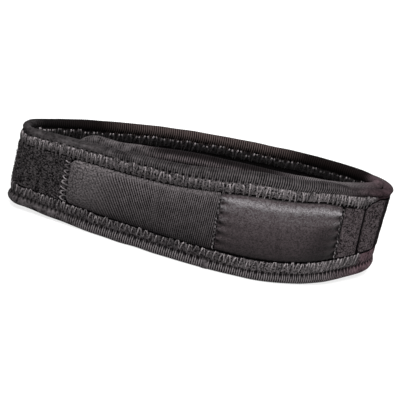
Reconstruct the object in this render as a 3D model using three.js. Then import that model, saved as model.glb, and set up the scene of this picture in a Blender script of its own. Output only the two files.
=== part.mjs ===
// A knee strap that is worn just below the kneecap. One padded strip, edged all round
// with knit binding tape, goes a little over one and a half times round the leg and
// closes on itself with a hook patch. It stands on its lower edge, as it does when it
// is closed and set down on a table. Millimetres, +Z up, +X to the wearer's left.

import * as THREE from 'three';

// Driving dimensions of the strip and of the pieces that are sewn to it.
const BODY_HALF = 1.3; // half the thickness of the padded strip
const BODY_TUCK = 2.6; // from the edge of the strip to the body's full thickness
const BODY_EASE = 1; // width of the body's eased edge
const SEAT_GAP = 0.3; // between a piece and what it is sewn to
const SEAT = BODY_HALF + SEAT_GAP; // from the strip's middle to what is sewn on its face
const BEAD_HALF = 2.4; // half the thickness of the rolled edge
const TAPE_THICKNESS = 0.6; // of the flat part of the tape
const TAPE_CLEAR = 0.8; // from the end of the tape on the face to a panel
const TIP_RADIUS = 12; // corners at the two ends of the strip
const LAYER_PITCH = 5.5; // from one layer of the strip to the next
const LAYER_RAMP = 0.06; // turns before and after the right end where a layer changes
const END_RISE = 6; // length over which a padded panel swells from its end

// Spacing of the cross-sections: a new one for each of these lengths or angles passed.
const STEP_LENGTH = 12;
const STEP_ANGLE = THREE.MathUtils.degToRad(15);
const LOOP_SAMPLES = 2400; // fine steps round the loop that are measured for this
const STATION_CLEAR = 1; // least distance from a cross-section to the end of a piece
const CORNER_SHARES = [0, 0.12, 0.45]; // cross-sections in a corner, as shares of its radius
const TIP_ANGLES = [67.5, 45, 22.5, 0].map(THREE.MathUtils.degToRad); // round a tip's corner
const CROWN_SHARES = [0, 0.08, 0.25, 0.5, 0.75, 0.92, 1]; // rows up a padded panel

// The strip is followed in turns round the loop. Turn 0 is the outer pass of the right
// end, 0.5 the left end and 1 the inner pass of the right end. The tail lies outside the
// back, and the other tip lies inside the front.
const TAIL_TIP = -0.17;
const INNER_TIP = 1.441;

// The loop seen from above, from the right end along the front to the left and back.
const LOOP_PLAN = [
  { place: 'right end', x: 79.24, y: -1.88 },
  { place: 'right end, front', x: 76.64, y: -8.88 },
  { place: 'front right', x: 69.64, y: -15.88 },
  { place: 'front right of the crown', x: 53.44, y: -24.68 },
  { place: 'front crown', x: 29.44, y: -28.68 },
  { place: 'front middle', x: -1.56, y: -23.08 },
  { place: 'front left of the middle', x: -31.56, y: -12.78 },
  { place: 'front left', x: -61.56, y: -1.08 },
  { place: 'left end, front', x: -75.66, y: 4.12 },
  { place: 'left end, front bend', x: -80.36, y: 6.12 },
  { place: 'left end', x: -82.16, y: 10.22 },
  { place: 'left end, back bend', x: -80.36, y: 14.22 },
  { place: 'left end, back', x: -75.66, y: 16.72 },
  { place: 'back left', x: -61.56, y: 21.62 },
  { place: 'back left of the middle', x: -36.56, y: 26.12 },
  { place: 'back middle', x: -6.56, y: 28.12 },
  { place: 'back right of the middle', x: 23.44, y: 25.62 },
  { place: 'back right', x: 48.44, y: 20.62 },
  { place: 'right end, back', x: 64.44, y: 14.12 },
  { place: 'right end, back bend', x: 74.14, y: 8.12 },
  { place: 'right end, inner bend', x: 77.84, y: 3.62 },
];

// Lower and upper edge of the strip along its length.
const EDGE_ROWS = [
  { place: 'tail tip', turn: TAIL_TIP, low: 4, high: 37 },
  { place: 'tail', turn: -0.1, low: 4, high: 37 },
  { place: 'tail, near the right end', turn: -0.04, low: 3.5, high: 40.5 },
  { place: 'right end, outer pass', turn: 0.02, low: 2.6, high: 44 },
  { place: 'front right', turn: 0.07, low: 1.7, high: 47.6 },
  { place: 'front crown, right', turn: 0.125, low: 0.4, high: 51.3 },
  { place: 'front crown, left', turn: 0.19, low: 0, high: 51.3 },
  { place: 'front middle', turn: 0.25, low: 0, high: 48.1 },
  { place: 'front left of the middle', turn: 0.31, low: 0, high: 44.6 },
  { place: 'front left', turn: 0.38, low: 0, high: 42.2 },
  { place: 'left end, front', turn: 0.44, low: 1, high: 40.8 },
  { place: 'left end', turn: 0.5, low: 2.4, high: 39.7 },
  { place: 'left end, back', turn: 0.56, low: 1.5, high: 39.8 },
  { place: 'back left', turn: 0.65, low: 0, high: 40.5 },
  { place: 'back middle', turn: 0.75, low: 0, high: 41 },
  { place: 'back right', turn: 0.85, low: 0, high: 41.6 },
  { place: 'right end, back', turn: 0.95, low: 1.5, high: 43 },
  { place: 'right end, inner pass', turn: 1, low: 2.2, high: 44.6 },
  { place: 'inner front right', turn: 1.07, low: 1.5, high: 47.4 },
  { place: 'inner crown, right', turn: 1.15, low: 1, high: 50.3 },
  { place: 'inner crown, left', turn: 1.21, low: 1, high: 50.9 },
  { place: 'inner middle', turn: 1.28, low: 1, high: 49.8 },
  { place: 'inner left', turn: 1.36, low: 1, high: 45.8 },
  { place: 'inner tip, start', turn: 1.395, low: 1, high: 42.9 },
  { place: 'inner tip', turn: INNER_TIP, low: 1, high: 42.6 },
];

// Distance from the lower and the upper edge of the strip to the panels along its length.
// The tape is wider where the strip is wider.
const MARGIN_ROWS = [
  { place: 'tail tip', turn: TAIL_TIP, low: 9.2, high: 9.2 },
  { place: 'tail, near the right end', turn: -0.04, low: 10.5, high: 8 },
  { place: 'right end, outer pass', turn: 0.03, low: 12, high: 7 },
  { place: 'right end, front', turn: 0.06, low: 12, high: 8.2 },
  { place: 'front right', turn: 0.09, low: 12.1, high: 8.9 },
  { place: 'front crown, right', turn: 0.13, low: 11.2, high: 9.8 },
  { place: 'front crown, left', turn: 0.2, low: 10.4, high: 10.9 },
  { place: 'front middle', turn: 0.26, low: 10.3, high: 10.6 },
  { place: 'front left of the middle', turn: 0.33, low: 10.3, high: 10 },
  { place: 'front left', turn: 0.4, low: 10.4, high: 9 },
  { place: 'left end, front', turn: 0.45, low: 10, high: 8.4 },
  { place: 'left end', turn: 0.5, low: 9.7, high: 8 },
  { place: 'left end, back', turn: 0.58, low: 9.2, high: 9.2 },
  { place: 'inner tip', turn: INNER_TIP, low: 9.2, high: 9.2 },
];

// Half of the tape's cross-section: depth in from the edge of the strip, and distance out
// of its middle. The shell is the outside of the tape and the lining the inside of its fold.
// A row without a depth lies where the tape ends, short of the panels.
const TAPE_SHELL = [
  { place: 'end of the tape', out: SEAT + TAPE_THICKNESS },
  { place: 'widest part of the bead', depth: BEAD_HALF, out: BEAD_HALF },
  { place: 'shoulder of the bead', depth: 0.7, out: 1.7 },
  { place: 'rim of the flat crown', depth: 0, out: 0.6 },
];
const TAPE_LINING = [
  { place: 'under the crown', depth: 1.1, out: 0.9 },
  { place: 'under the bead', depth: 2.3, out: SEAT },
  { place: 'end of the tape', out: SEAT },
];

// Panels sewn to a face of the strip, between the tapes. side is 1 on the outer face and
// -1 on the inner one, lean is how far an end's top lies further along the strip than its
// foot, inset is added to the margin, edge is the thickness at the rim, and crown is what
// the padding adds in the middle.
const PANELS = [
  { name: 'tail_end_panel', side: 1, from: -0.14, to: 0.0495, leanFrom: 0, leanTo: 1.7,
    inset: 0, corner: 3, edge: 0.7, crown: 0, color: 0x2b2728, roughness: 0.9 },
  { name: 'tail_panel', side: 1, from: 0.0525, to: 0.0865, leanFrom: 1.7, leanTo: 2.2,
    inset: 0, corner: 0.6, edge: 0.7, crown: 0, color: 0x2a2627, roughness: 0.9 },
  { name: 'badge_panel', side: 1, from: 0.0885, to: 0.2378, leanFrom: 2.2, leanTo: 2.4,
    inset: 0.3, corner: 1.5, edge: 0.7, crown: 1.3, color: 0x2d2a2b, roughness: 0.45 },
  { name: 'front_panel', side: 1, from: 0.24, to: 0.4335, leanFrom: 2.4, leanTo: 0.6,
    inset: 0, corner: 3.5, edge: 0.7, crown: 1.6, color: 0x2c2a2b, roughness: 0.75 },
  { name: 'loop_panel', side: 1, from: 0.436, to: 0.93, leanFrom: 0.6, leanTo: 0,
    inset: 0, corner: 2, edge: 0.5, crown: 0, color: 0x1c1b1b, roughness: 1 },
  { name: 'hook_patch', side: -1, from: -0.14, to: -0.065, leanFrom: 0, leanTo: 0,
    inset: 1, corner: 3, edge: 1.1, crown: 0, color: 0x171717, roughness: 0.8 },
];

const loopPath = new THREE.CatmullRomCurve3(
  LOOP_PLAN.map(({ x, y }) => new THREE.Vector3(x, y, 0)), true, 'centripetal');
loopPath.arcLengthDivisions = LOOP_SAMPLES;
const LOOP_LENGTH = loopPath.getLength();

/** Length along the strip in millimetres, as a share of a turn. */
function turns(length) {
  return length / LOOP_LENGTH;
}

/** Distance outwards from the plan of the loop to the middle of the strip. */
function layerOffset(turn) {
  const { smoothstep } = THREE.MathUtils;
  const leftTail = smoothstep(turn, -LAYER_RAMP, LAYER_RAMP);
  const reachedInside = smoothstep(turn, 1 - LAYER_RAMP, 1 + LAYER_RAMP);
  return LAYER_PITCH * (1 - leftTail - reachedInside);
}

/** Point of the object for a turn, a height and a distance out of the strip's middle. */
function spot(turn, z, out) {
  const along = turn - Math.floor(turn);
  const point = loopPath.getPointAt(along);
  const heading = loopPath.getTangentAt(along);
  const reach = layerOffset(turn) + out;
  return new THREE.Vector3(point.x - heading.y * reach, point.y + heading.x * reach, z);
}

/** Slope of the edge at a row: level at a high or low row, so the edge never overshoots. */
function edgeSlope(row, column) {
  if (row === 0 || row === EDGE_ROWS.length - 1) return 0;
  const [before, here, after] = EDGE_ROWS.slice(row - 1, row + 2);
  const rise = (here[column] - before[column]) / (here.turn - before.turn);
  const fall = (after[column] - here[column]) / (after.turn - here.turn);
  return rise * fall > 0 ? (2 * rise * fall) / (rise + fall) : 0;
}

/** Number of the row at the end of the stretch between two rows that holds a turn. */
function rowAfter(rows, turn) {
  return Math.max(rows.findIndex((row) => row.turn >= turn), 1);
}

/** Height of the strip's lower or upper edge, a smooth curve through the rows. */
function edgeHeight(turn, column) {
  const last = rowAfter(EDGE_ROWS, turn);
  const [a, b] = [EDGE_ROWS[last - 1], EDGE_ROWS[last]];
  const span = b.turn - a.turn;
  const t = (turn - a.turn) / span;
  const fromRows = a[column] + (b[column] - a[column]) * t * t * (3 - 2 * t);
  const leave = edgeSlope(last - 1, column) * t * (1 - t) ** 2;
  const arrive = edgeSlope(last, column) * t * t * (t - 1);
  return fromRows + span * (leave + arrive);
}

/** Distance from the strip's lower or upper edge to the panels, in straight stretches. */
function panelMargin(turn, column) {
  const last = rowAfter(MARGIN_ROWS, turn);
  const [a, b] = [MARGIN_ROWS[last - 1], MARGIN_ROWS[last]];
  return THREE.MathUtils.mapLinear(turn, a.turn, b.turn, a[column], b[column]);
}

/** Distance from the strip's lower or upper edge to where the tape ends on the face. */
function tapeReach(turn, column) {
  return panelMargin(turn, column) - TAPE_CLEAR;
}

/** Shares of one turn at which every layer has a cross-section, closer where it bends. */
function loopStations() {
  const cost = [0];
  let heading = loopPath.getTangentAt(0);
  for (let i = 1; i <= LOOP_SAMPLES; i += 1) {
    const next = loopPath.getTangentAt(i / LOOP_SAMPLES);
    const passed = LOOP_LENGTH / LOOP_SAMPLES / STEP_LENGTH;
    cost.push(cost[i - 1] + passed + heading.angleTo(next) / STEP_ANGLE);
    heading = next;
  }
  const count = Math.ceil(cost[LOOP_SAMPLES]);
  return Array.from({ length: count }, (_, k) => {
    const wanted = (cost[LOOP_SAMPLES] * k) / count;
    return cost.findIndex((reached) => reached >= wanted) / LOOP_SAMPLES;
  });
}

const STATIONS = loopStations();

/** Turns of the cross-sections between two turns, which are themselves the first and last. */
function stationsBetween(first, last) {
  const clear = turns(STATION_CLEAR);
  const inside = [];
  for (let turn = Math.floor(first); turn <= Math.ceil(last); turn += 1) {
    STATIONS.forEach((share) => inside.push(turn + share));
  }
  const kept = inside.filter((turn) => turn > first + clear && turn < last - clear);
  return [first, ...kept, last];
}

/** How far a rounded corner pulls the outline in, at a distance from its end. */
function cornerInset(distance, radius) {
  if (distance >= radius) return 0;
  return radius - Math.sqrt(radius ** 2 - (radius - distance) ** 2);
}

/** Turns of the cross-sections of a piece with rounded corners at both of its ends. */
function cornerStations(first, last, radius) {
  const near = CORNER_SHARES.map((share) => turns(radius * share));
  const middle = stationsBetween(first + turns(radius), last - turns(radius));
  return [...near.map((gap) => first + gap), ...middle, ...near.reverse().map((gap) => last - gap)];
}

/**
 * Closed solid through cross-sections of equal point count. Each section's points run
 * anticlockwise, drawn with the outer face to the right. A ring joins its last section to
 * the first, and any other solid gets a cap at each end, a fan from the first point.
 */
function loft(sections, { ring = false } = {}) {
  const size = sections[0].length;
  const indices = [];
  const bands = ring ? sections.length : sections.length - 1;
  for (let i = 0; i < bands; i += 1) {
    const here = i * size;
    const there = ((i + 1) % sections.length) * size;
    for (let j = 0; j < size; j += 1) {
      const k = (j + 1) % size;
      indices.push(here + j, there + k, there + j, here + j, here + k, there + k);
    }
  }
  const end = (sections.length - 1) * size;
  for (let j = 1; j < size - 1 && !ring; j += 1) {
    indices.push(0, j + 1, j, end, end + j, end + j + 1);
  }
  const geometry = new THREE.BufferGeometry().setFromPoints(sections.flat());
  geometry.setIndex(indices);
  geometry.computeVertexNormals();
  return geometry;
}

/** The padded strip itself, a flat section with eased edges inside the fold of the tape. */
function strapBodyGeometry() {
  const first = TAIL_TIP + turns(BODY_TUCK);
  const last = INNER_TIP - turns(BODY_TUCK);
  const radius = TIP_RADIUS - BODY_TUCK;
  const eased = BODY_HALF - BODY_EASE / 2;
  const outline = (low, high) => [
    [low, -BODY_HALF], [low - BODY_EASE, -eased], [low - BODY_EASE, eased], [low, BODY_HALF],
    [high, BODY_HALF], [high + BODY_EASE, eased], [high + BODY_EASE, -eased], [high, -BODY_HALF],
  ];
  const sections = cornerStations(first, last, radius).map((turn) => {
    const fromEnd = Math.min(turn - first, last - turn) * LOOP_LENGTH;
    const inset = BODY_TUCK + cornerInset(fromEnd, radius);
    const low = edgeHeight(turn, 'low') + inset;
    const high = edgeHeight(turn, 'high') - inset;
    return outline(low, high).map(([z, out]) => spot(turn, z, out));
  });
  return loft(sections);
}

/** Corner of the binding's path: a quarter circle at a tip, on the upper or lower edge. */
function tipCorner(tip, sense, column) {
  const up = column === 'high' ? 1 : -1;
  const centreTurn = tip - sense * turns(TIP_RADIUS);
  const centreHeight = edgeHeight(tip, column) - up * TIP_RADIUS;
  return TIP_ANGLES.map((angle) => {
    const along = sense * Math.cos(angle);
    const rise = up * Math.sin(angle);
    return {
      turn: centreTurn + turns(TIP_RADIUS * along),
      z: centreHeight + TIP_RADIUS * rise,
      inAlong: -along,
      inRise: -rise,
      reach: tapeReach(tip, column),
    };
  });
}

/** Path of the binding once round the strip, with the way in and the tape's reach. */
function bindingPath() {
  const runs = stationsBetween(TAIL_TIP + turns(TIP_RADIUS), INNER_TIP - turns(TIP_RADIUS));
  const along = (column, inRise) => runs.map((turn) => (
    { turn, z: edgeHeight(turn, column), inAlong: 0, inRise, reach: tapeReach(turn, column) }));
  return [
    ...along('high', -1),
    ...tipCorner(INNER_TIP, 1, 'high'),
    ...tipCorner(INNER_TIP, 1, 'low').reverse(),
    ...along('low', 1).reverse(),
    ...tipCorner(TAIL_TIP, -1, 'low'),
    ...tipCorner(TAIL_TIP, -1, 'high').reverse(),
  ];
}

/** The knit tape, folded over the edge of the strip all the way round. */
function edgeBindingGeometry() {
  const mirrored = (rows) => rows.map(({ depth, out }) => ({ depth, out: -out })).reverse();
  const section = [
    ...TAPE_SHELL, ...mirrored(TAPE_SHELL), ...mirrored(TAPE_LINING), ...TAPE_LINING,
  ];
  const rings = bindingPath().map(({ turn, z, inAlong, inRise, reach }) => (
    section.map(({ depth = reach, out }) => (
      spot(turn + turns(depth * inAlong), z + depth * inRise, out)))));
  return loft(rings, { ring: true });
}

/** Share of a padded panel's crown at a height share from 0, its foot, to 1, its top. */
function crownShare(share) {
  return 1 - (2 * share - 1) ** 4;
}

/** A panel on a face of the strip, flat or swelling from its rim to a padded middle. */
function panelGeometry({ side, from, to, leanFrom, leanTo, inset, corner, edge, crown }) {
  const rows = crown > 0 ? CROWN_SHARES : [0, 1];
  const outline = (swell) => {
    const face = rows.map((share) => [share, SEAT + edge + crown * swell * crownShare(share)]);
    const loop = [[1, SEAT], [0, SEAT], ...face];
    return side > 0 ? loop : loop.map(([share, out]) => [share, -out]).reverse();
  };
  const sections = cornerStations(from, to, corner).map((turn) => {
    const fromEnd = Math.min(turn - from, to - turn) * LOOP_LENGTH;
    const pulledIn = inset + cornerInset(fromEnd, corner);
    const low = edgeHeight(turn, 'low') + panelMargin(turn, 'low') + pulledIn;
    const top = edgeHeight(turn, 'high') - panelMargin(turn, 'high') - pulledIn;
    const lean = turns(THREE.MathUtils.mapLinear(turn, from, to, leanFrom, leanTo));
    const swell = THREE.MathUtils.smoothstep(fromEnd, 0, END_RISE);
    return outline(swell).map(([share, out]) => (
      spot(turn + lean * (share - 0.5), low + share * (top - low), out)));
  });
  return loft(sections);
}

/** A named piece with a cloth finish of its own. */
function piece(name, geometry, color, roughness) {
  const mesh = new THREE.Mesh(
    geometry, new THREE.MeshStandardMaterial({ color, roughness, metalness: 0 }));
  mesh.name = name;
  return mesh;
}

const kneeStrap = new THREE.Group();
kneeStrap.add(piece('strap_body', strapBodyGeometry(), 0x141313, 0.95));
kneeStrap.add(piece('edge_binding', edgeBindingGeometry(), 0x2c2728, 0.85));
PANELS.forEach((panel) => {
  kneeStrap.add(piece(panel.name, panelGeometry(panel), panel.color, panel.roughness));
});

export default kneeStrap;
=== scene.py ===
"""Looks of a padded knee strap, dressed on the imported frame.

One strip goes a little over one and a half times round the leg. Ribbed knit tape is folded
over its edge all the way round and held by zigzag rows on both faces. Between the tapes lie
panels of twill, satin and brushed cloth, a long panel of loop pile and a patch of hooks.
Places on the strap are given in millimetres and become metres in the meshes.
"""

from __future__ import annotations

import logging
import math
from dataclasses import dataclass, field
from enum import Enum
from typing import Any, Callable, Mapping

import bpy
import numpy as np
from mathutils import Matrix, Vector


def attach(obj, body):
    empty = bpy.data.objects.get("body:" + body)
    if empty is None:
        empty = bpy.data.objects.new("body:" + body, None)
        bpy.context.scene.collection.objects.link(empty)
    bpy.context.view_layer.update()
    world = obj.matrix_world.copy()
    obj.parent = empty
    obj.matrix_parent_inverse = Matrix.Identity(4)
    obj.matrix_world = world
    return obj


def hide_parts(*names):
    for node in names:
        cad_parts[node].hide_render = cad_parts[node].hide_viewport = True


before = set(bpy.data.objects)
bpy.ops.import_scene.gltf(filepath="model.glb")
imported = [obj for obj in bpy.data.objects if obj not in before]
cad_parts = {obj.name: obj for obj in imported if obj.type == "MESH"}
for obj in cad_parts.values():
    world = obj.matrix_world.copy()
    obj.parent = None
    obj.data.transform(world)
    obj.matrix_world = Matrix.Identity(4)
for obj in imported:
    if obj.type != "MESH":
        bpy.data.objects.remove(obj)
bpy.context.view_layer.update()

Array = np.ndarray
Span = tuple[float, float, float, float]
LOG = logging.getLogger("knee_strap")
MM = 0.001  # metres in a millimetre
TAU = 2 * math.pi
STRIP_MAP = "strip"  # UV map: millimetres along the strip, and across it
TAPE_MAP = 10.0  # the map's second number at the tape's inner rim, whatever its width there
BODY_PIECE = "strap_body_padding"

# Sizes of the strip, in millimetres.
BODY_HALF = 1.3  # half the thickness of the padded strip
BODY_TUCK = 2.6  # from the strip's edge to the body's full thickness
BODY_EASE = 1.0  # width of the body's eased edge
SEAT = 1.4  # from the strip's middle to what is sewn on its face
TIP_RADIUS = 12.0  # corners at the two ends of the strip
LAYER_PITCH = 5.5  # from one layer of the strip to the next
LAYER_RAMP = 0.06  # turns before and after the right end where a layer changes
END_RISE = 6.0  # length over which a padded panel swells from its end
RIB_PITCH = 1.0  # ribs of the knit tape
TWILL_PITCH = 0.87  # upright ribs of the twill
PANEL_HEIGHT = 27.0  # usual height of the front panels

# Turn 0 is the outer pass of the right end, 0.5 the left end, 1 the inner pass of the right end.
TAIL_TIP = -0.17
INNER_TIP = 1.441
INNER_PASS = (1.04, 1.12)  # where the strip goes in behind the front
BARE_END = 0.005  # middle of the right end, where the tape has no zigzag

# The loop seen from above, from the right end along the front to the left and back: x, y.
LOOP_PLAN = np.array([
    (79.24, -1.88), (76.64, -8.88), (69.64, -15.88), (53.44, -24.68), (29.44, -28.68),
    (-1.56, -23.08), (-31.56, -12.78), (-61.56, -1.08), (-75.66, 4.12), (-80.36, 6.12),
    (-82.16, 10.22), (-80.36, 14.22), (-75.66, 16.72), (-61.56, 21.62), (-36.56, 26.12),
    (-6.56, 28.12), (23.44, 25.62), (48.44, 20.62), (64.44, 14.12), (74.14, 8.12),
    (77.84, 3.62),
])

# Lower and upper edge of the strip along its length: turn, low, high.
EDGE_ROWS = np.array([
    (-0.17, 4, 37), (-0.1, 4, 37), (-0.04, 3.5, 40.5), (0.02, 2.6, 44), (0.07, 1.7, 47.6),
    (0.125, 0.4, 51.3), (0.19, 0, 51.3), (0.25, 0, 48.1), (0.31, 0, 44.6), (0.38, 0, 42.2),
    (0.44, 1, 40.8), (0.5, 2.4, 39.7), (0.56, 1.5, 39.8), (0.65, 0, 40.5), (0.75, 0, 41),
    (0.85, 0, 41.6), (0.95, 1.5, 43), (1, 2.2, 44.6), (1.07, 1.5, 47.4), (1.15, 1, 50.3),
    (1.21, 1, 50.9), (1.28, 1, 49.8), (1.36, 1, 45.2), (1.395, 1, 43.4), (1.441, 1, 43.4),
])

# From the lower and the upper edge of the strip to the panels along its length: turn, low, high.
MARGIN_ROWS = np.array([
    (-0.17, 9.2, 9.2), (-0.04, 10.5, 5), (0.03, 12, 3.6), (0.057, 12, 8.4), (0.09, 12.1, 8.9),
    (0.13, 11.2, 9.8), (0.2, 10.4, 10.9), (0.26, 10.3, 10.6), (0.33, 10.3, 10), (0.4, 10.4, 9),
    (0.45, 10, 8.4), (0.5, 9.7, 8), (0.58, 9.2, 9.2), (1.37, 9.2, 9.2), (1.408, 10.5, 10.5),
    (1.441, 10.5, 10.5),
])

# Depth of the rolled bead in from the lower and the upper edge: turn, low, high.
BEAD_ROWS = np.array([
    (-0.17, 4.2, 4.2), (0, 5.2, 2.7), (0.06, 5.4, 2.7), (0.085, 5.6, 3.2), (0.11, 5.2, 4.5),
    (0.14, 4.8, 4.9), (0.19, 4.3, 4.9), (0.25, 4.5, 4.7), (0.28, 5, 4.3), (0.35, 5, 3.3),
    (0.42, 4.8, 3), (0.5, 4.5, 2.7), (0.56, 4.2, 3.4), (0.62, 4.2, 4.4), (1, 4.2, 4.4),
    (1.08, 4.2, 5), (1.25, 4.2, 5.9), (1.37, 4.2, 5.9), (1.408, 6.5, 6.5), (1.441, 6.5, 6.5),
])
GROOVE = 0.455  # share of the tape's width that the bead takes up

# Length of one stitch of the rows along the edges: turn, millimetres.
STITCH_ROWS = np.array([
    (-0.17, 3), (0, 2.1), (0.08, 1.95), (0.13, 2.45), (0.19, 2.9), (0.3, 2.95), (0.36, 2.65),
    (0.42, 2.1), (0.48, 1.9), (0.54, 2.3), (0.6, 4), (1, 4), (1.1, 3), (1.441, 3),
])


class Side(Enum):
    """A face of the strip, as the sign of the distance out of its middle."""

    OUTER = 1
    INNER = -1


class Slot(Enum):
    """The record's material slots."""

    PADDING = "padding"
    BINDING = "binding_tape"
    TWILL = "twill"
    SATIN = "satin"
    BRUSHED = "brushed_cloth"
    PILE = "loop_pile"
    HOOKS = "hook_tape"


def smoothstep(value: Array | float, low: float, high: float) -> Array:
    """Cubic ramp from 0 at low to 1 at high, level at both ends; low may be above high."""
    t = np.clip((np.asarray(value, float) - low) / (high - low), 0, 1)
    return t * t * (3 - 2 * t)


def window(value: Array, span: Span) -> Array:
    """1 inside a span: a ramp up over its first two numbers, a ramp down over its last two."""
    start, full, leave, end = span
    return smoothstep(value, start, full) * (1 - smoothstep(value, leave, end))


def bell(value: Array, centre: float, width: float) -> Array:
    """Bell curve: 1 at the centre, about a third at a width from it."""
    return np.exp(-((value - centre) / width) ** 2)


def eased(distance: Array, radius: float) -> Array:
    """Quarter round: 0 at a rim, 1 from a radius in, with the slope of a circle."""
    t = np.clip(1 - distance / radius, 0, 1)
    return np.sqrt(1 - t * t)


WAVE_SPREAD = (0.7, 1.5)  # shortest and longest wave of a ripple, as shares of its size


def ripple(u: Array, v: Array, size: float, seed: int, waves: int = 14) -> Array:
    """Smooth random relief from -1 to 1: a sum of sine waves of about one size, seeded.

    Args:
        u: millimetres along the strip.
        v: millimetres across it.
        size: typical wavelength in millimetres.
        seed: picks the waves.
        waves: how many are summed.

    Returns:
        The relief, of the shape of u and v together.
    """
    rng = np.random.default_rng(seed)
    angle = rng.uniform(0, TAU, waves)
    rate = TAU / (size * rng.uniform(*WAVE_SPREAD, waves))
    start = rng.uniform(0, TAU, waves)
    u, v = np.broadcast_arrays(u, v)
    phase = u[..., None] * (rate * np.cos(angle)) + v[..., None] * (rate * np.sin(angle)) + start
    return np.sin(phase).sum(-1) / math.sqrt(waves * 2)


class StrapSpace:
    """The strap's own coordinates: turns along the strip, height, distance out of its middle."""

    STEPS = 240  # table rows between two points of the plan

    def __init__(self) -> None:
        """Tabulates the loop by arc length: a centripetal Catmull-Rom curve through the plan.

        Between two points it is a Hermite curve whose end slopes weigh the neighbouring
        chords by the square roots of their lengths.
        """
        before, here, there, after = (np.roll(LOOP_PLAN, n, axis=0) for n in (1, 0, -1, -2))
        pairs = ((before, here), (here, there), (there, after))
        a, b, c = (np.sqrt(np.linalg.norm(q - p, axis=1))[:, None] for p, q in pairs)
        leave = b * ((here - before) / a - (there - before) / (a + b) + (there - here) / b)
        arrive = b * ((there - here) / b - (after - here) / (b + c) + (after - there) / c)
        t = (np.arange(self.STEPS) / self.STEPS)[None, :, None]
        plan = (
            (2 * t**3 - 3 * t**2 + 1) * here[:, None] + (t**3 - 2 * t**2 + t) * leave[:, None]
            + (3 * t**2 - 2 * t**3) * there[:, None] + (t**3 - t**2) * arrive[:, None]
        ).reshape(-1, 2)
        heading = np.roll(plan, -1, axis=0) - np.roll(plan, 1, axis=0)
        heading /= np.linalg.norm(heading, axis=1)[:, None]
        self._plan = np.vstack([plan, plan[:1]])
        self._heading = np.vstack([heading, heading[:1]])
        reached = np.cumsum(np.linalg.norm(np.diff(self._plan, axis=0), axis=1))
        self.length = float(reached[-1])
        self._share = np.concatenate([[0.0], reached / self.length])

    def turns(self, length: Array | float) -> Array | float:
        """Millimetres along the strip as a share of a turn."""
        return length / self.length

    @staticmethod
    def layer(turn: Array) -> Array:
        """Distance from the plan out to the strip: a pitch on the tail, less one after each ramp.

        Args:
            turn: turns along the strip.

        Returns:
            Millimetres outwards.
        """
        left_tail = smoothstep(turn, -LAYER_RAMP, LAYER_RAMP)
        inside = smoothstep(turn, 1 - LAYER_RAMP, 1 + LAYER_RAMP)
        return LAYER_PITCH * (1 - left_tail - inside)

    def spot(self, turn: Array, z: Array, out: Array) -> Array:
        """Points in millimetres: the plan's point moved out along its normal, at height z.

        Args:
            turn: turns along the strip.
            z: heights above the table.
            out: distances out of the strip's middle, negative on the inner face.

        Returns:
            Points with x, y and z on the last axis.
        """
        turn, z, out = np.broadcast_arrays(turn, z, out)
        along = turn - np.floor(turn)
        x, y = (np.interp(along, self._share, self._plan[:, k]) for k in (0, 1))
        hx, hy = (np.interp(along, self._share, self._heading[:, k]) for k in (0, 1))
        size = np.hypot(hx, hy)
        reach = (self.layer(turn) + out) / size
        return np.stack([x - hy * reach, y + hx * reach, z], axis=-1)

    @staticmethod
    def _edge(turn: Array, column: int) -> Array:
        """Height of an edge: Hermite through the rows, level at each high or low row.

        Args:
            turn: turns along the strip.
            column: 1 for the lower edge and 2 for the upper one.

        Returns:
            Heights above the table.
        """
        at, height = EDGE_ROWS[:, 0], EDGE_ROWS[:, column]
        rise = np.diff(height) / np.diff(at)
        same = rise[:-1] * rise[1:] > 0
        total = np.where(same, rise[:-1] + rise[1:], 1.0)
        inner = np.where(same, 2 * rise[:-1] * rise[1:] / total, 0.0)
        slope = np.concatenate([[0.0], inner, [0.0]])
        turn = np.clip(turn, at[0], at[-1])
        k = np.clip(np.searchsorted(at, turn), 1, len(at) - 1)
        span = at[k] - at[k - 1]
        t = (turn - at[k - 1]) / span
        rows = height[k - 1] + (height[k] - height[k - 1]) * t * t * (3 - 2 * t)
        bend = slope[k - 1] * t * (1 - t) ** 2 + slope[k] * t * t * (t - 1)
        return rows + span * bend

    def low(self, turn: Array) -> Array:
        """Height of the strip's lower edge."""
        return self._edge(turn, 1)

    def high(self, turn: Array) -> Array:
        """Height of the strip's upper edge."""
        return self._edge(turn, 2)

    @staticmethod
    def rows(table: Array, turn: Array) -> tuple[Array, Array]:
        """A table's values for the lower and for the upper edge, straight from row to row."""
        low, high = (np.interp(turn, table[:, 0], table[:, k]) for k in (1, 2))
        return low, high

    def between_tapes(self, turn: Array, inset: Array | float) -> tuple[Array, Array]:
        """Lower and upper limit of a panel that is an inset in from the margins."""
        low, high = self.rows(MARGIN_ROWS, turn)
        return self.low(turn) + low + inset, self.high(turn) - high - inset


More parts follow.
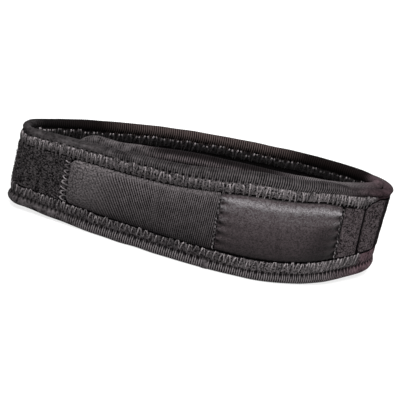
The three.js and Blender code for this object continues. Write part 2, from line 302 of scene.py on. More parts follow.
class RimPath:
    """The strip's outline, followed once round: top, inner tip, bottom, tail tip."""

    STEP = 0.5  # millimetres between the table's rows
    CORNER_POINTS = 48
    SAME = 1e-6  # millimetres up to which two points are one
    UPPER = -0.9  # rise of the way in, below which the outline is the upper edge

    def __init__(self, space: StrapSpace) -> None:
        """Joins the edges and the quarter circles at the tips, and measures along them.

        Args:
            space: the strap's coordinates.
        """
        self.space = space
        first = TAIL_TIP * space.length + TIP_RADIUS
        last = INNER_TIP * space.length - TIP_RADIUS
        run = np.linspace(first, last, int((last - first) / self.STEP))
        turn = space.turns(run)
        level = np.zeros_like(run)
        below, above = space.rows(MARGIN_ROWS, turn)
        under, over = space.rows(BEAD_ROWS, turn)
        top = np.stack([run, space.high(turn), level, level - 1, above, over])
        bottom = np.stack([run, space.low(turn), level, level + 1, below, under])[:, ::-1]
        corners = [
            self._corner(last, INNER_TIP, space.high, -1, 90, 0),
            self._corner(last, INNER_TIP, space.low, 1, 0, -90),
            self._corner(first, TAIL_TIP, space.low, 1, -90, -180),
            self._corner(first, TAIL_TIP, space.high, -1, 180, 90),
        ]
        rows = np.hstack([top, *corners[:2], bottom, *corners[2:], top[:, :1]])
        gaps = np.hypot(np.diff(rows[0]), np.diff(rows[1]))
        apart = gaps > self.SAME
        self._rows = rows[:, np.concatenate([[True], apart])]
        self._at = np.concatenate([[0.0], np.cumsum(gaps[apart])])
        self.length = float(self._at[-1])

    def _corner(self, centre: float, tip: float, edge: Callable[[Array], Array], sense: int,
                start: float, end: float) -> Array:
        """Quarter circle at a tip: place along the strip, height, and the way in from the edge.

        Args:
            centre: the circle's centre along the strip.
            tip: the tip's turn.
            edge: the space's method for the edge that the corner joins.
            sense: -1 on the upper edge and 1 on the lower one.
            start: first angle in degrees.
            end: last angle in degrees.

        Returns:
            Four rows and two for the margin and the bead, a column for each point.
        """
        angle = np.radians(np.linspace(start, end, self.CORNER_POINTS))
        at = np.full_like(angle, tip)
        height = edge(at) + sense * TIP_RADIUS
        along, rise = np.cos(angle), np.sin(angle)
        margin, _ = self.space.rows(MARGIN_ROWS, at)
        bead, _ = self.space.rows(BEAD_ROWS, at)
        run, z = centre + TIP_RADIUS * along, height + TIP_RADIUS * rise
        return np.stack([run, z, -along, -rise, margin, bead])

    def _read(self, along: Array) -> list[Array]:
        """The table's six columns at lengths along the outline."""
        wrapped = np.mod(along, self.length)
        return [np.interp(wrapped, self._at, row) for row in self._rows]

    def turn(self, along: Array) -> Array:
        """Turns along the strip at lengths along the outline."""
        return self.space.turns(self._read(along)[0])

    def upper(self, along: Array) -> Array:
        """True where the outline is the strip's upper edge."""
        return self._read(along)[3] < self.UPPER

    def depth(self, along: Array, share: Array | float) -> Array:
        """Depth in from the outline of a share of the tape's width.

        Args:
            along: millimetres along the outline.
            share: 0 at the edge, GROOVE beside the bead and 1 at the panels.

        Returns:
            Millimetres in from the edge.
        """
        margin, bead = self._read(along)[4:]
        flat = np.maximum(share - GROOVE, 0) / (1 - GROOVE) * (margin - bead)
        return np.minimum(share / GROOVE, 1) * bead + flat

    def place(self, along: Array, across: Array, out: Array) -> Array:
        """Points for a length along the outline, a depth in from it and a distance out.

        Args:
            along: millimetres along the outline.
            across: depth in from the edge.
            out: distance out of the strip's middle.

        Returns:
            Points with x, y and z on the last axis.
        """
        along, across, out = np.broadcast_arrays(along, across, out)
        length, z, in_along, in_rise = self._read(along)[:4]
        turn = self.space.turns(length + across * in_along)
        return self.space.spot(turn, z + across * in_rise, out)


@dataclass
class Surface:
    """Points, faces and strip coordinates of a mesh, in millimetres."""

    points: Array
    faces: list[Array]
    strip: Array
    marks: dict[str, Array] = field(default_factory=dict)

    @staticmethod
    def lattice(points: Array, strip: Array, ring_rows: bool = False, ring_cols: bool = False,
                capped: bool = False) -> Surface:
        """Quads between the points of a grid.

        Args:
            points: rows, columns and x, y, z.
            strip: strip coordinates for each point.
            ring_rows: joins the last row to the first.
            ring_cols: joins the last column to the first.
            capped: closes the first and the last row with a face each.

        Returns:
            The surface, turned so that a closed one faces outwards.
        """
        rows, cols = points.shape[:2]
        index = np.arange(rows * cols).reshape(rows, cols)
        if ring_rows:
            index = np.vstack([index, index[:1]])
        if ring_cols:
            index = np.hstack([index, index[:, :1]])
        here, there = index[:-1], index[1:]
        quads = np.stack([here[:, :-1], there[:, :-1], there[:, 1:], here[:, 1:]], axis=-1)
        faces = [quads.reshape(-1, 4)]
        if capped:
            faces.append(np.arange(cols)[None, :])
            faces.append(((rows - 1) * cols + np.arange(cols))[None, ::-1])
        return Surface(points.reshape(-1, 3), faces, strip.reshape(-1, 2)).turned_out()

    @staticmethod
    def tubes(lines: Array, upright: Array, wide: Array, tall: Array, sides: int) -> Surface:
        """Closed tubes along many lines, each with the same number of points.

        A section is an ellipse in the plane across the line: wide along tangent x upright,
        and tall along the direction square to both.

        Args:
            lines: tubes, points and x, y, z.
            upright: a direction for each point, not along the line.
            wide: half widths for each point of each tube.
            tall: half heights.
            sides: corners of a section.

        Returns:
            The surface; its strip coordinates are the tube's number and the share along it.
        """
        count, steps = lines.shape[:2]
        ahead = np.gradient(lines, axis=1)
        ahead /= np.linalg.norm(ahead, axis=-1, keepdims=True)
        across = np.cross(ahead, upright)
        across /= np.linalg.norm(across, axis=-1, keepdims=True)
        up = np.cross(across, ahead)
        angle = np.arange(sides) * TAU / sides
        ring_x = wide[..., None, None] * np.cos(angle)[:, None] * across[:, :, None]
        ring_y = tall[..., None, None] * np.sin(angle)[:, None] * up[:, :, None]
        points = lines[:, :, None] + ring_x + ring_y
        index = np.arange(count * steps * sides).reshape(count, steps, sides)
        turned = np.roll(index, -1, axis=2)
        quads = np.stack([index[:, :-1], index[:, 1:], turned[:, 1:], turned[:, :-1]], axis=-1)
        faces = [quads.reshape(-1, 4), index[:, 0], index[:, -1, ::-1]]
        number, share, _ = np.meshgrid(
            np.arange(count), np.linspace(0, 1, steps), np.arange(sides), indexing="ij")
        strip = np.stack([number, share], axis=-1)
        return Surface(points.reshape(-1, 3), faces, strip.reshape(-1, 2)).turned_out()

    def turned_out(self) -> Surface:
        """Reverses the faces if the volume they enclose, a sum of signed tetrahedra, is negative.

        Returns:
            The surface itself.
        """
        volume = 0.0
        for face in self.faces:
            corners = self.points[face]
            for k in range(1, face.shape[1] - 1):
                cross = np.cross(corners[:, k], corners[:, k + 1])
                volume += float(np.einsum("ij,ij->", corners[:, 0], cross))
        if volume < 0:
            self.faces = [face[:, ::-1] for face in self.faces]
        return self

    def marked(self, **marks: Array) -> Surface:
        """Adds named values, one for each point."""
        self.marks.update({name: np.asarray(value).ravel() for name, value in marks.items()})
        return self

    def build(self, name: str) -> bpy.types.Object:
        """Puts the surface into a smooth mesh object at the origin, in metres.

        Args:
            name: the object's name.

        Returns:
            The object, linked to the scene.
        """
        corners = np.concatenate([face.ravel() for face in self.faces])
        sizes = np.concatenate([np.full(len(face), face.shape[1]) for face in self.faces])
        mesh = bpy.data.meshes.new(name)
        mesh.vertices.add(len(self.points))
        mesh.vertices.foreach_set("co", (self.points * MM).astype(np.float32).ravel())
        mesh.loops.add(len(corners))
        mesh.loops.foreach_set("vertex_index", corners.astype(np.int32))
        mesh.polygons.add(len(sizes))
        mesh.polygons.foreach_set("loop_start", (np.cumsum(sizes) - sizes).astype(np.int32))
        mesh.polygons.foreach_set("use_smooth", np.ones(len(sizes), bool))
        mesh.update(calc_edges=True)
        layer = mesh.uv_layers.new(name=STRIP_MAP)
        layer.uv.foreach_set("vector", self.strip[corners].astype(np.float32).ravel())
        for key, value in self.marks.items():
            attribute = mesh.attributes.new(key, "FLOAT", "POINT")
            attribute.data.foreach_set("value", value.astype(np.float32))
        mesh.validate()
        obj = bpy.data.objects.new(name, mesh)
        bpy.context.scene.collection.objects.link(obj)
        LOG.info("%s: %d faces", name, len(sizes))
        return obj


class Signal:
    """A node's output, with the operators that shader maths on numbers needs."""

    def __init__(self, loom: Loom, socket: bpy.types.NodeSocket) -> None:
        """Keeps the tree and the socket."""
        self.loom = loom
        self.socket = socket

    def _math(self, operation: str, *values: Any) -> Signal:
        """A Math node on values and signals."""
        return self.loom.node("ShaderNodeMath", {"operation": operation}, dict(enumerate(values)))

    def __add__(self, other: Any) -> Signal:
        """Sum."""
        return self._math("ADD", self, other)

    __radd__ = __add__

    def __sub__(self, other: Any) -> Signal:
        """Difference."""
        return self._math("SUBTRACT", self, other)

    def __rsub__(self, other: Any) -> Signal:
        """Difference from a number."""
        return self._math("SUBTRACT", other, self)

    def __mul__(self, other: Any) -> Signal:
        """Product."""
        return self._math("MULTIPLY", self, other)

    __rmul__ = __mul__

    def __truediv__(self, other: Any) -> Signal:
        """Quotient."""
        return self._math("DIVIDE", self, other)

    def __rtruediv__(self, other: Any) -> Signal:
        """Number over this."""
        return self._math("DIVIDE", other, self)

    def __pow__(self, other: Any) -> Signal:
        """Power."""
        return self._math("POWER", self, other)

    def __abs__(self) -> Signal:
        """Size without sign."""
        return self._math("ABSOLUTE", self)

    def wave(self, period: float = 1.0) -> Signal:
        """Cosine from 0 to 1, with a crest at each whole period."""
        return self._math("COSINE", self * (TAU / period)) * 0.5 + 0.5

    def ramp(self, low: Any, high: Any) -> Signal:
        """Smooth ramp from 0 at low to 1 at high; low may be above high."""
        inputs = {0: self, 1: low, 2: high, 3: 0.0, 4: 1.0}
        return self.loom.node("ShaderNodeMapRange", {"interpolation_type": "SMOOTHSTEP"}, inputs)

    def limit(self) -> Signal:
        """Cut to the range from 0 to 1."""
        return self.loom.node("ShaderNodeClamp", {}, {0: self, 1: 0.0, 2: 1.0})


class Loom:
    """The node tree of one material."""

    SHEEN_ROUGHNESS = 0.4

    def __init__(self, name: str) -> None:
        """Starts an empty tree.

        Args:
            name: the material's name.
        """
        self.material = bpy.data.materials.new(name)
        self.material.use_nodes = True
        self.tree = self.material.node_tree
        self.tree.nodes.clear()

    def node(self, kind: str, settings: Mapping[str, Any] | None = None,
             inputs: Mapping[str | int, Any] | None = None, output: str | int = 0) -> Signal:
        """Adds a node.

        Args:
            kind: the node's type.
            settings: its own settings, set first.
            inputs: values or signals for its sockets, by name or number.
            output: which output the signal is.

        Returns:
            That output.
        """
        made = self.tree.nodes.new(kind)
        for key, value in (settings or {}).items():
            setattr(made, key, value)
        for key, value in (inputs or {}).items():
            if isinstance(value, Signal):
                self.tree.links.new(value.socket, made.inputs[key])
            else:
                made.inputs[key].default_value = value
        return Signal(self, made.outputs[output])

    def strip(self) -> tuple[Signal, Signal, Signal]:
        """Reads the strip map.

        Returns:
            The map as a vector, the length along and the distance across.
        """
        vector = self.node("ShaderNodeUVMap", {"uv_map": STRIP_MAP})
        split = self.node("ShaderNodeSeparateXYZ", {}, {0: vector})
        return vector, split, Signal(self, split.socket.node.outputs[1])

    def mark(self, name: str) -> Signal:
        """A named value of the mesh."""
        return self.node("ShaderNodeAttribute", {"attribute_name": name}, {}, "Fac")

    def noise(self, vector: Signal, scale: float, detail: float = 2.0) -> Signal:
        """Random value round 0.5 over a vector."""
        inputs = {"Vector": vector, "Scale": scale, "Detail": detail}
        return self.node("ShaderNodeTexNoise", {}, inputs)

    def grain(self, vector: Signal, scale: float) -> Signal:
        """Random value from 0 to 1 that is even within each small cell of a vector."""
        cells = self.node("ShaderNodeTexVoronoi", {}, {"Vector": vector, "Scale": scale}, "Color")
        return self.node("ShaderNodeSeparateColor", {}, {0: cells})

    def place(self) -> Signal:
        """The piece's own coordinates, in metres."""
        return self.node("ShaderNodeTexCoord", {}, {}, "Object")

    def blend(self, share: Signal | float, first: Any, second: Any) -> Signal:
        """Colour from first at 0 to second at 1."""
        inputs = {0: share, 6: first, 7: second}
        return self.node("ShaderNodeMix", {"data_type": "RGBA"}, inputs, 2)

    def bump(self, height: Signal, depth: float, strength: float = 1.0) -> Signal:
        """Normal tilted by a height of some millimetres."""
        inputs = {"Strength": strength, "Distance": depth * MM, "Height": height}
        return self.node("ShaderNodeBump", {}, inputs)

    def cloth(self, colour: Signal, normal: Signal, roughness: Signal | float,
              sheen: float = 0.0, specular: float = 0.0) -> bpy.types.Material:
        """Ends the tree in a cloth shader.

        Args:
            colour: signal for the base colour.
            normal: bumped normal.
            roughness: signal or number.
            sheen: weight of the fibres' sheen.
            specular: level of the plain gloss.

        Returns:
            The finished material.
        """
        inputs = {
            "Base Color": colour, "Roughness": roughness, "Normal": normal, "Sheen Weight": sheen,
            "Sheen Roughness": self.SHEEN_ROUGHNESS, "Specular IOR Level": specular,
        }
        return self.ended(inputs)

    def ended(self, inputs: Mapping[str, Any]) -> bpy.types.Material:
        """Ends the tree in a Principled shader.

        Args:
            inputs: values or signals for its sockets.

        Returns:
            The finished material.
        """
        shader = self.node("ShaderNodeBsdfPrincipled", {}, inputs)
        out = self.tree.nodes.new("ShaderNodeOutputMaterial")
        self.tree.links.new(shader.socket, out.inputs["Surface"])
        return self.material


CREVICE_SHADE = 0.002  # level of the painted shade in holes and creases
CHARCOAL = (1.06, 0.955, 0.985)  # red, green and blue of the tint
TO_BROWN = (0.22, -0.02, -0.1)  # what brown adds to them
TO_PLUM = (0.14, -0.055, -0.005)  # what plum adds to them


def grey(level: float, brown: float = 0.0, plum: float = 0.0) -> tuple[float, float, float, float]:
    """Charcoal: a level times a tint that leans to brown or plum by shares of them.

    Args:
        level: linear grey.
        brown: share of brown.
        plum: share of plum.

    Returns:
        Linear red, green, blue and 1.
    """
    tints = zip(CHARCOAL, TO_BROWN, TO_PLUM)
    red, green, blue = (level * (a + b * brown + c * plum) for a, b, c in tints)
    return (red, green, blue, 1.0)


@dataclass(frozen=True)
class RibbedTape:
    """Knit tape: ribs across it; painted shade and light on the bead, painted shade in the groove
    beside it and under the zigzag.
    """

    pitch: float
    # Levels of the rib valleys and crests: the knit's own ribs, with painted shade deepening the
    # valleys.
    valley: float = 0.001
    crest: float = 0.085
    bed: tuple[float, float] = (0.003, 0.1)
    contrast: float = 2.4
    mean: float = 0.36

    TINTS = ((0.0, 0.0), (1.0, 0.0), (0.0, 2.0))  # brown and plum of the three tints
    # Shares of the tape's width over which a part begins.
    FLAT = (0.47, 0.53)
    # painted shade on the top of the bead
    SHADY = (0.22, 0.07)
    # painted shade on the top of the bead and painted light on its foot
    ROLLED_TOP, ROLLED_FOOT = (0.14, 0.03), (0.2, 0.42)

    def material(self) -> bpy.types.Material:
        """Ribs from the length along the tape, groove and pressed part from the depth in it.

        Returns:
            The finished material.
        """
        loom = Loom("ribbed_tape")
        _, along, across = loom.strip()
        share = abs(across) / TAPE_MAP
        mottle = loom.noise(loom.place(), scale=1000)
        rib = (along.wave(self.pitch) - 0.45) * loom.mark("clear")
        bead = self._bead(loom, share, rib * self.contrast + (mottle - 0.5))
        flat = share.ramp(*self.FLAT) * loom.mark("sewn")
        pressed = loom.blend(flat, bead, self._bed(loom, across, mottle))
        colour = loom.blend(self._seam(loom, share), pressed, grey(CREVICE_SHADE))
        normal = loom.bump(rib + mottle * 0.8, depth=0.12, strength=0.5)
        return loom.cloth(colour, normal, roughness=0.85, sheen=0.02)

    def _bead(self, loom: Loom, share: Signal, uneven: Signal) -> Signal:
        """Colour of the bead: painted shade on its top and painted light on its lower half, tinted by
        the marks.

        Args:
            loom: the material's tree.
            share: share of the tape's width.
            uneven: ribs and fine mottle.

        Returns:
            The colour.
        """
        broad = loom.noise(loom.place(), scale=260)
        # The level mark is painted shade; the next lines paint shade on the bead's top and light on
        # its foot.
        tone = (uneven + (broad - 0.5) + self.mean).limit() * loom.mark("level")
        tone = tone * (1 - loom.mark("shady") * share.ramp(*self.SHADY) * 0.85)
        bead_shading = loom.mark("bead_shading")
        tone = tone * (1 - bead_shading * share.ramp(*self.ROLLED_TOP) * 0.45)
        tone = tone * (1 + bead_shading * share.ramp(*self.ROLLED_FOOT))
        plain, brown, plum = (
            loom.blend(tone, grey(self.valley, *tint), grey(self.crest, *tint)) for tint in self.TINTS)
        return loom.blend(loom.mark("plum"), loom.blend(loom.mark("brown"), plain, brown), plum)

    def _bed(self, loom: Loom, across: Signal, mottle: Signal) -> Signal:
        """Colour of the flat part: specks, slits of painted shade between the stitches, painted shade
        on the inner face.

        Args:
            loom: the material's tree.
            across: the strip map's second number.
            mottle: fine noise.

        Returns:
            The colour.
        """
        slit = (loom.mark("count") * 2.0 + mottle).wave()
        # Painted shade on the inner face, inside the loop.
        outside = across.ramp(-1.0, 1.0) * 0.85 + 0.15
        speck = loom.grain(loom.place(), scale=1700)
        weave = (slit * 0.35 + (speck - 0.5) * 1.3 + 0.32).limit() * outside * loom.mark("bed")
        return loom.blend(weave, *(grey(level) for level in self.bed))

    @staticmethod
    def _seam(loom: Loom, share: Signal) -> Signal:
        """Share of painted shade in the groove: a line, and a needle hole at each stitch.

        Args:
            loom: the material's tree.
            share: share of the tape's width.

        Returns:
            1 where it is dark.
        """
        hole = loom.mark("count").wave() ** 2.0
        line = loom.mark("line")
        beside = abs(share - GROOVE).ramp(0.02, 0.045 + hole * 0.13)
        return (1 - beside) * (hole * (1 - line) + line) * loom.mark("seam")


@dataclass(frozen=True)
class SewingThread:
    """Soft sewing thread: painted light at the upper end of a stitch, painted shade where it goes into
    its hole.
    """

    name: str = "zigzag_thread"
    dark: float = 0.012
    light: float = 0.22
    start: float = 0.3
    twists: float = 9.0

    def material(self) -> bpy.types.Material:
        """Tone from the stitch's own value, which holds painted light and shade, and painted light
        rising up it; twist from waves along it.

        Returns:
            The finished material.
        """
        loom = Loom(self.name)
        _, _, up = loom.strip()
        fuzz = loom.grain(loom.place(), scale=1900)
        even = loom.mark("even")
        # Painted light rising up the stitch towards its upper end.
        rise = up.ramp(self.start, 0.95) * (1 - even) + even
        tone = (loom.mark("shade") * rise * (fuzz * 1.5 + 0.25)).limit()
        yarn = loom.blend(tone, grey(self.dark), grey(self.light))
        # Painted shade at the stitch's foot, where it goes into its hole.
        colour = loom.blend(up.ramp(0.16, 0.02), yarn, grey(CREVICE_SHADE))
        twist = (up * self.twists + loom.mark("round")).wave()
        normal = loom.bump(twist, depth=0.12, strength=0.6)
        return loom.cloth(colour, normal, roughness=0.6, sheen=0.02, specular=0.05)


@dataclass(frozen=True)
class Twill:
    """Ribbed twill: fine broken ribs, plain and lighter at the left end, painted shade at the sewn
    rims and towards the foot.
    """

    valley: float = 0.002
    crest: float = 0.075
    plain: float = 0.05
    crease: float = 0.003
    dash: float = 1.25

    def material(self) -> bpy.types.Material:
        """Ribs from the mesh's own counts, broken into dashes that alternate from rib to rib.

        Returns:
            The finished material.
        """
        loom = Loom("front_twill")
        vector, _, across = loom.strip()
        floats = loom.noise(vector, scale=1.0, detail=1.0)
        mottle = loom.noise(loom.place(), scale=300)
        fibre = loom.noise(vector, scale=1.3, detail=1.0)
        # The level mark is painted shade, darker towards the panel's foot.
        level, slant, upright = (loom.mark(name) for name in ("level", "slant", "upright"))
        rib = upright.wave() * (1 - slant) + loom.mark("slanted").wave() * slant
        dash = (across / self.dash + upright * 0.5).wave()
        woven = rib * 0.95 + dash * 0.2 - 0.17 + (floats - 0.5) * 0.7 + (mottle - 0.5) * 0.6
        ribbed = loom.blend(woven.limit() * level, grey(self.valley), grey(self.crest))
        nap = ((fibre - 0.5) * 3.0 + 0.5).limit() * level
        smooth = loom.blend(nap, grey(self.plain * 0.3), grey(self.plain * 1.7))
        cloth = loom.blend(loom.mark("plain"), ribbed, smooth)
        colour = loom.blend(loom.mark("crease"), cloth, grey(self.crease))
        normal = loom.bump(rib + floats * 0.7, depth=0.08, strength=0.45)
        return loom.cloth(colour, normal, roughness=0.8, sheen=0.02)


@dataclass(frozen=True)
class Satin:
    """Satin tricot: soft gloss, a painted highlight, fine grain, faint streaks along the strip,
    painted shade at sewn rims.
    """

    dark: float = 0.001
    # level of the painted highlight at its brightest
    gleam: float = 0.2
    roughness: float = 0.42
    drawn_out: float = 0.12

    def material(self) -> bpy.types.Material:
        """Painted highlight from the mesh's own value, varied by fine cells and by noise along the
        strip.

        Returns:
            The finished material.
        """
        loom = Loom("badge_satin")
        vector, along, across = loom.strip()
        grain = loom.grain(vector, scale=2.3)
        drawn = loom.node("ShaderNodeCombineXYZ", {}, {0: along * self.drawn_out, 1: across, 2: 0.0})
        streak = loom.noise(drawn, scale=0.9, detail=3.0)
        uneven = 1 + (grain - 0.5) * 1.1 + (streak - 0.5) * 0.6
        # The sheen mark is a painted highlight: a bright band near the top, lighter on the crests of
        # the puckers.
        gloss = (loom.mark("sheen") * uneven).limit()
        # Lit and shaded copies of the satin: plum where the painted highlight is low, plainer where it
        # is high.
        shaded = loom.blend(gloss, grey(self.dark, plum=0.6), grey(self.gleam, plum=0.7))
        bright = loom.blend(gloss, grey(self.dark), grey(self.gleam, brown=-0.15))
        satin = loom.blend(gloss.ramp(0.1, 0.4), shaded, bright)
        colour = loom.blend(loom.mark("crease"), satin, grey(CREVICE_SHADE))
        normal = loom.bump(grain + streak * 0.4, depth=0.08, strength=0.5)
        roughness = self.roughness + (grain - 0.5) * 0.3
        return loom.cloth(colour, normal, roughness, specular=0.05)


@dataclass(frozen=True)
class BrushedCloth:
    """Brushed jersey: a matt nap with small clumps of fibre, with painted shade in its creases and
    seams.
    """

    dark: float = 0.004
    light: float = 0.066
    plum: float = 0.45

    def material(self) -> bpy.types.Material:
        """Fibres from small cells, clumps from broad noise.

        Returns:
            The finished material.
        """
        loom = Loom("brushed_cloth")
        vector, _, _ = loom.strip()
        fibre = loom.grain(vector, scale=2.4)
        clump = loom.noise(vector, scale=0.5)
        share = ((fibre - 0.5) * 1.1 + (clump - 0.5) * 1.0 + 0.45).limit()
        nap = loom.blend(share, grey(self.dark, plum=self.plum), grey(self.light, plum=self.plum))
        colour = loom.blend(loom.mark("crease"), nap, grey(CREVICE_SHADE))
        return loom.cloth(colour, loom.bump(fibre, depth=0.12, strength=0.6), roughness=0.9)


@dataclass(frozen=True)
class LoopPile:
    """Looped nylon pile: dark between the loops, lighter where fibres catch the light."""

    name: str = "loop_cloth"
    dark: float = 0.001
    light: float = 0.036

    def material(self) -> bpy.types.Material:
        """Speckle from fine noise over the mesh's own shade.

        Returns:
            The finished material.
        """
        loom = Loom(self.name)
        speck = loom.noise(loom.place(), scale=1400, detail=1.0)
        share = ((speck - 0.5) * 4.0 + loom.mark("shade") * 0.8).limit()
        colour = loom.blend(share, grey(self.dark), grey(self.light))
        normal = loom.bump(speck, depth=0.15, strength=0.7)
        return loom.cloth(colour, normal, roughness=0.9, sheen=0.02)


@dataclass(frozen=True)
class Lining:
    """Black knit face of the padded strip: fine stitch columns, very little light."""

    dark: float = 0.001
    light: float = 0.03
    column: float = 1.1
    course: float = 0.9

    def material(self) -> bpy.types.Material:
        """Columns and courses of the knit from two waves on the strip map.

        Returns:
            The finished material.
        """
        loom = Loom("padding_lining")
        vector, along, across = loom.strip()
        column = along.wave(self.column)
        course = (across + column * 0.3).wave(self.course)
        mottle = loom.noise(vector, scale=0.8, detail=3.0)
        share = (column * 0.4 + course * 0.3 + (mottle - 0.5) * 0.8).limit() * loom.mark("level")
        colour = loom.blend(share, grey(self.dark), grey(self.light))
        return loom.cloth(colour, loom.bump(column + course, depth=0.12, strength=0.5), roughness=0.95)


@dataclass(frozen=True)
class HookNylon:
    """Stiff black nylon of the hooks and of the tape that carries them."""

    dark: float = 0.004
    light: float = 0.014
    thread: float = 0.7

    def material(self) -> bpy.types.Material:
        """A weave of two waves, with a little gloss.

        Returns:
            The finished material.
        """
        loom = Loom("hook_nylon")
        vector, along, across = loom.strip()
        weave = along.wave(self.thread) * across.wave(self.thread)
        mottle = loom.noise(vector, scale=1.2)
        share = (weave * 0.6 + mottle * 0.4).limit()
        colour = loom.blend(share, grey(self.dark), grey(self.light))
        normal = loom.bump(weave, depth=0.1, strength=0.4)
        return loom.cloth(colour, normal, roughness=0.45, specular=0.4)


def wear(obj: bpy.types.Object, material: bpy.types.Material,
         node: str | None = None) -> bpy.types.Object:
    """Gives a piece its material, and hides the solid that it stands for.

    Args:
        obj: the piece.
        material: its finish.
        node: the solid, if the piece stands for one.

    Returns:
        The piece, riding on the strap's one body.
    """
    obj.data.materials.append(material)
    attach(obj, "root")
    if node:
        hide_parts(node)
    return obj


@dataclass
class StrapBody:
    """The padded strip itself, with eased edges inside the fold of the tape."""

    space: StrapSpace
    step: float = 1.6
    rows: int = 26
    wrinkle: float = 0.1
    wrinkle_size: float = 7.0
    seed: int = 5
    shaded: float = 0.14

    def build(self) -> None:
        """Carries a flat section with eased edges along the strip, pulled in at the tips."""
        space = self.space
        first = TAIL_TIP + space.turns(BODY_TUCK)
        last = INNER_TIP - space.turns(BODY_TUCK)
        radius = TIP_RADIUS - BODY_TUCK
        turn = np.linspace(first, last, int((last - first) * space.length / self.step))
        from_end = np.minimum(turn - first, last - turn) * space.length
        inset = BODY_TUCK + radius * (1 - eased(from_end, radius))
        low, high = space.low(turn) + inset, space.high(turn) - inset
        section = self._section()
        z = low[:, None] + section[:, 0] * (high - low)[:, None] + section[:, 1]
        along = turn[:, None] * space.length
        relief = self.wrinkle * ripple(along, z, self.wrinkle_size, self.seed)
        points = space.spot(turn[:, None], z, section[:, 2] + relief * np.sign(section[:, 2]))
        strip = np.stack(np.broadcast_arrays(along, z), axis=-1)
        surface = Surface.lattice(points, strip, ring_cols=True, capped=True)
        inside = smoothstep(turn, *INNER_PASS)[:, None]
        level = self.shaded + (1 - self.shaded) * inside
        surface.marked(level=np.broadcast_to(level, z.shape))
        piece = wear(surface.build(BODY_PIECE), Lining().material(), "strap_body")

    def _section(self) -> Array:
        """The closed section: two flat faces joined by eased edges.

        Returns:
            Points with share of the height, millimetres beyond it and distance out.
        """
        share = np.linspace(0, 1, self.rows)
        face = np.stack([share, np.zeros_like(share), np.full_like(share, BODY_HALF)], axis=1)
        soft = BODY_HALF - BODY_EASE / 2
        foot = np.array([(0, -BODY_EASE, -soft), (0, -BODY_EASE, soft)])
        top = np.array([(1, BODY_EASE, soft), (1, BODY_EASE, -soft)])
        return np.vstack([foot, face, top, face[::-1] * (1, 1, -1)])


@dataclass(frozen=True)
class Tips:
    """The tips of a zigzag in order along its line, and the look of the stitch before each one.

    Cloth is how far out the cloth lies at a tip. Light is how light the stitch is, with painted light
    and painted shade in it, and even how much of that its lower end has.
    """

    along: Array
    across: Array
    cloth: Array
    upper: Array
    light: Array
    even: Array


@dataclass
class ZigzagPlan:
    """How the zigzag runs along the outline: where its tips lie, and how far apart."""

    rim: RimPath
    samples: int = 4000

    NEAR = 0.51  # share of the tape's width at the tips beside the bead
    PAST, SHORT = 0.35, -0.4  # from the tape's inner rim to the far tips: upper outer row, others
    CLOTH_FAR, CLOTH_NEAR = 2.0, 1.7  # from the strip's middle to the cloth at the tips
    RIGHT = (0.05, 0.08, 0.2, 0.26)  # turns of the right of the front, where the thread gets painted light
    BARE = (0.034, 0.04)  # turns from the middle of the bare end to the first stitches
    DIM_BACK = (0.8, 0.93)  # turns over which the inner row gets painted shade
    INNER_EVEN = 0.06  # evenness of the inner row

    def __post_init__(self) -> None:
        """Counts stitches along the outline: the sum of each step over the stitch length there."""
        along = np.linspace(0, self.rim.length, self.samples)
        length = np.interp(self.rim.turn(along), STITCH_ROWS[:, 0], STITCH_ROWS[:, 1])
        counts = np.concatenate([[0.0], np.cumsum(np.diff(along) / length[:-1])])
        self.total = round(counts[-1])
        self._along = along
        self._counts = counts * self.total / counts[-1]

    def count(self, along: Array) -> Array:
        """Stitches counted up to a length along the outline."""
        return np.interp(along, self._along, self._counts)

    def tips(self, side: Side) -> Tips:
        """The tips of the zigzag on a face: near ones beside the bead, far ones at the panels.

        Args:
            side: the face.

        Returns:
            The tips once round the outline; the outer row stops short of the right end.
        """
        count = np.arange(2 * self.total + 1) / 2
        along = np.interp(count, self._counts, self._along)
        inward = np.arange(len(count)) % 2 == 1
        turn, upper = self.rim.turn(along), self.rim.upper(along)
        outer = side is Side.OUTER
        far = self.rim.depth(along, 1.0) + np.where(upper & outer, self.PAST, self.SHORT)
        across = np.where(inward, far, self.rim.depth(along, self.NEAR))
        cloth = np.where(inward, self.CLOTH_FAR, self.CLOTH_NEAR)
        light, even = self._outer_look(turn, upper) if outer else self._inner_look(turn)
        return Tips(along, across, cloth, inward ^ upper, light, even)

    def _outer_look(self, turn: Array, upper: Array) -> tuple[Array, Array]:
        """Light and evenness on the outer face: painted light on the upper edge and at the right, none
        on the bare end.

        Args:
            turn: turns along the strip.
            upper: true on the upper edge.

        Returns:
            Light and evenness at each tip.
        """
        right = window(turn, self.RIGHT)
        light = np.where(upper, 1.1 + 0.3 * right, 0.85 + 0.6 * right)
        sewn = smoothstep(np.abs(turn - BARE_END), *self.BARE)
        return light * sewn, np.where(upper, 0.2 + 0.3 * right, 0.45)

    def _inner_look(self, turn: Array) -> tuple[Array, Array]:
        """Light and evenness on the inner face: painted shade towards the right end of the back."""
        return 1 - 0.55 * smoothstep(turn, *self.DIM_BACK), np.full_like(turn, self.INNER_EVEN)


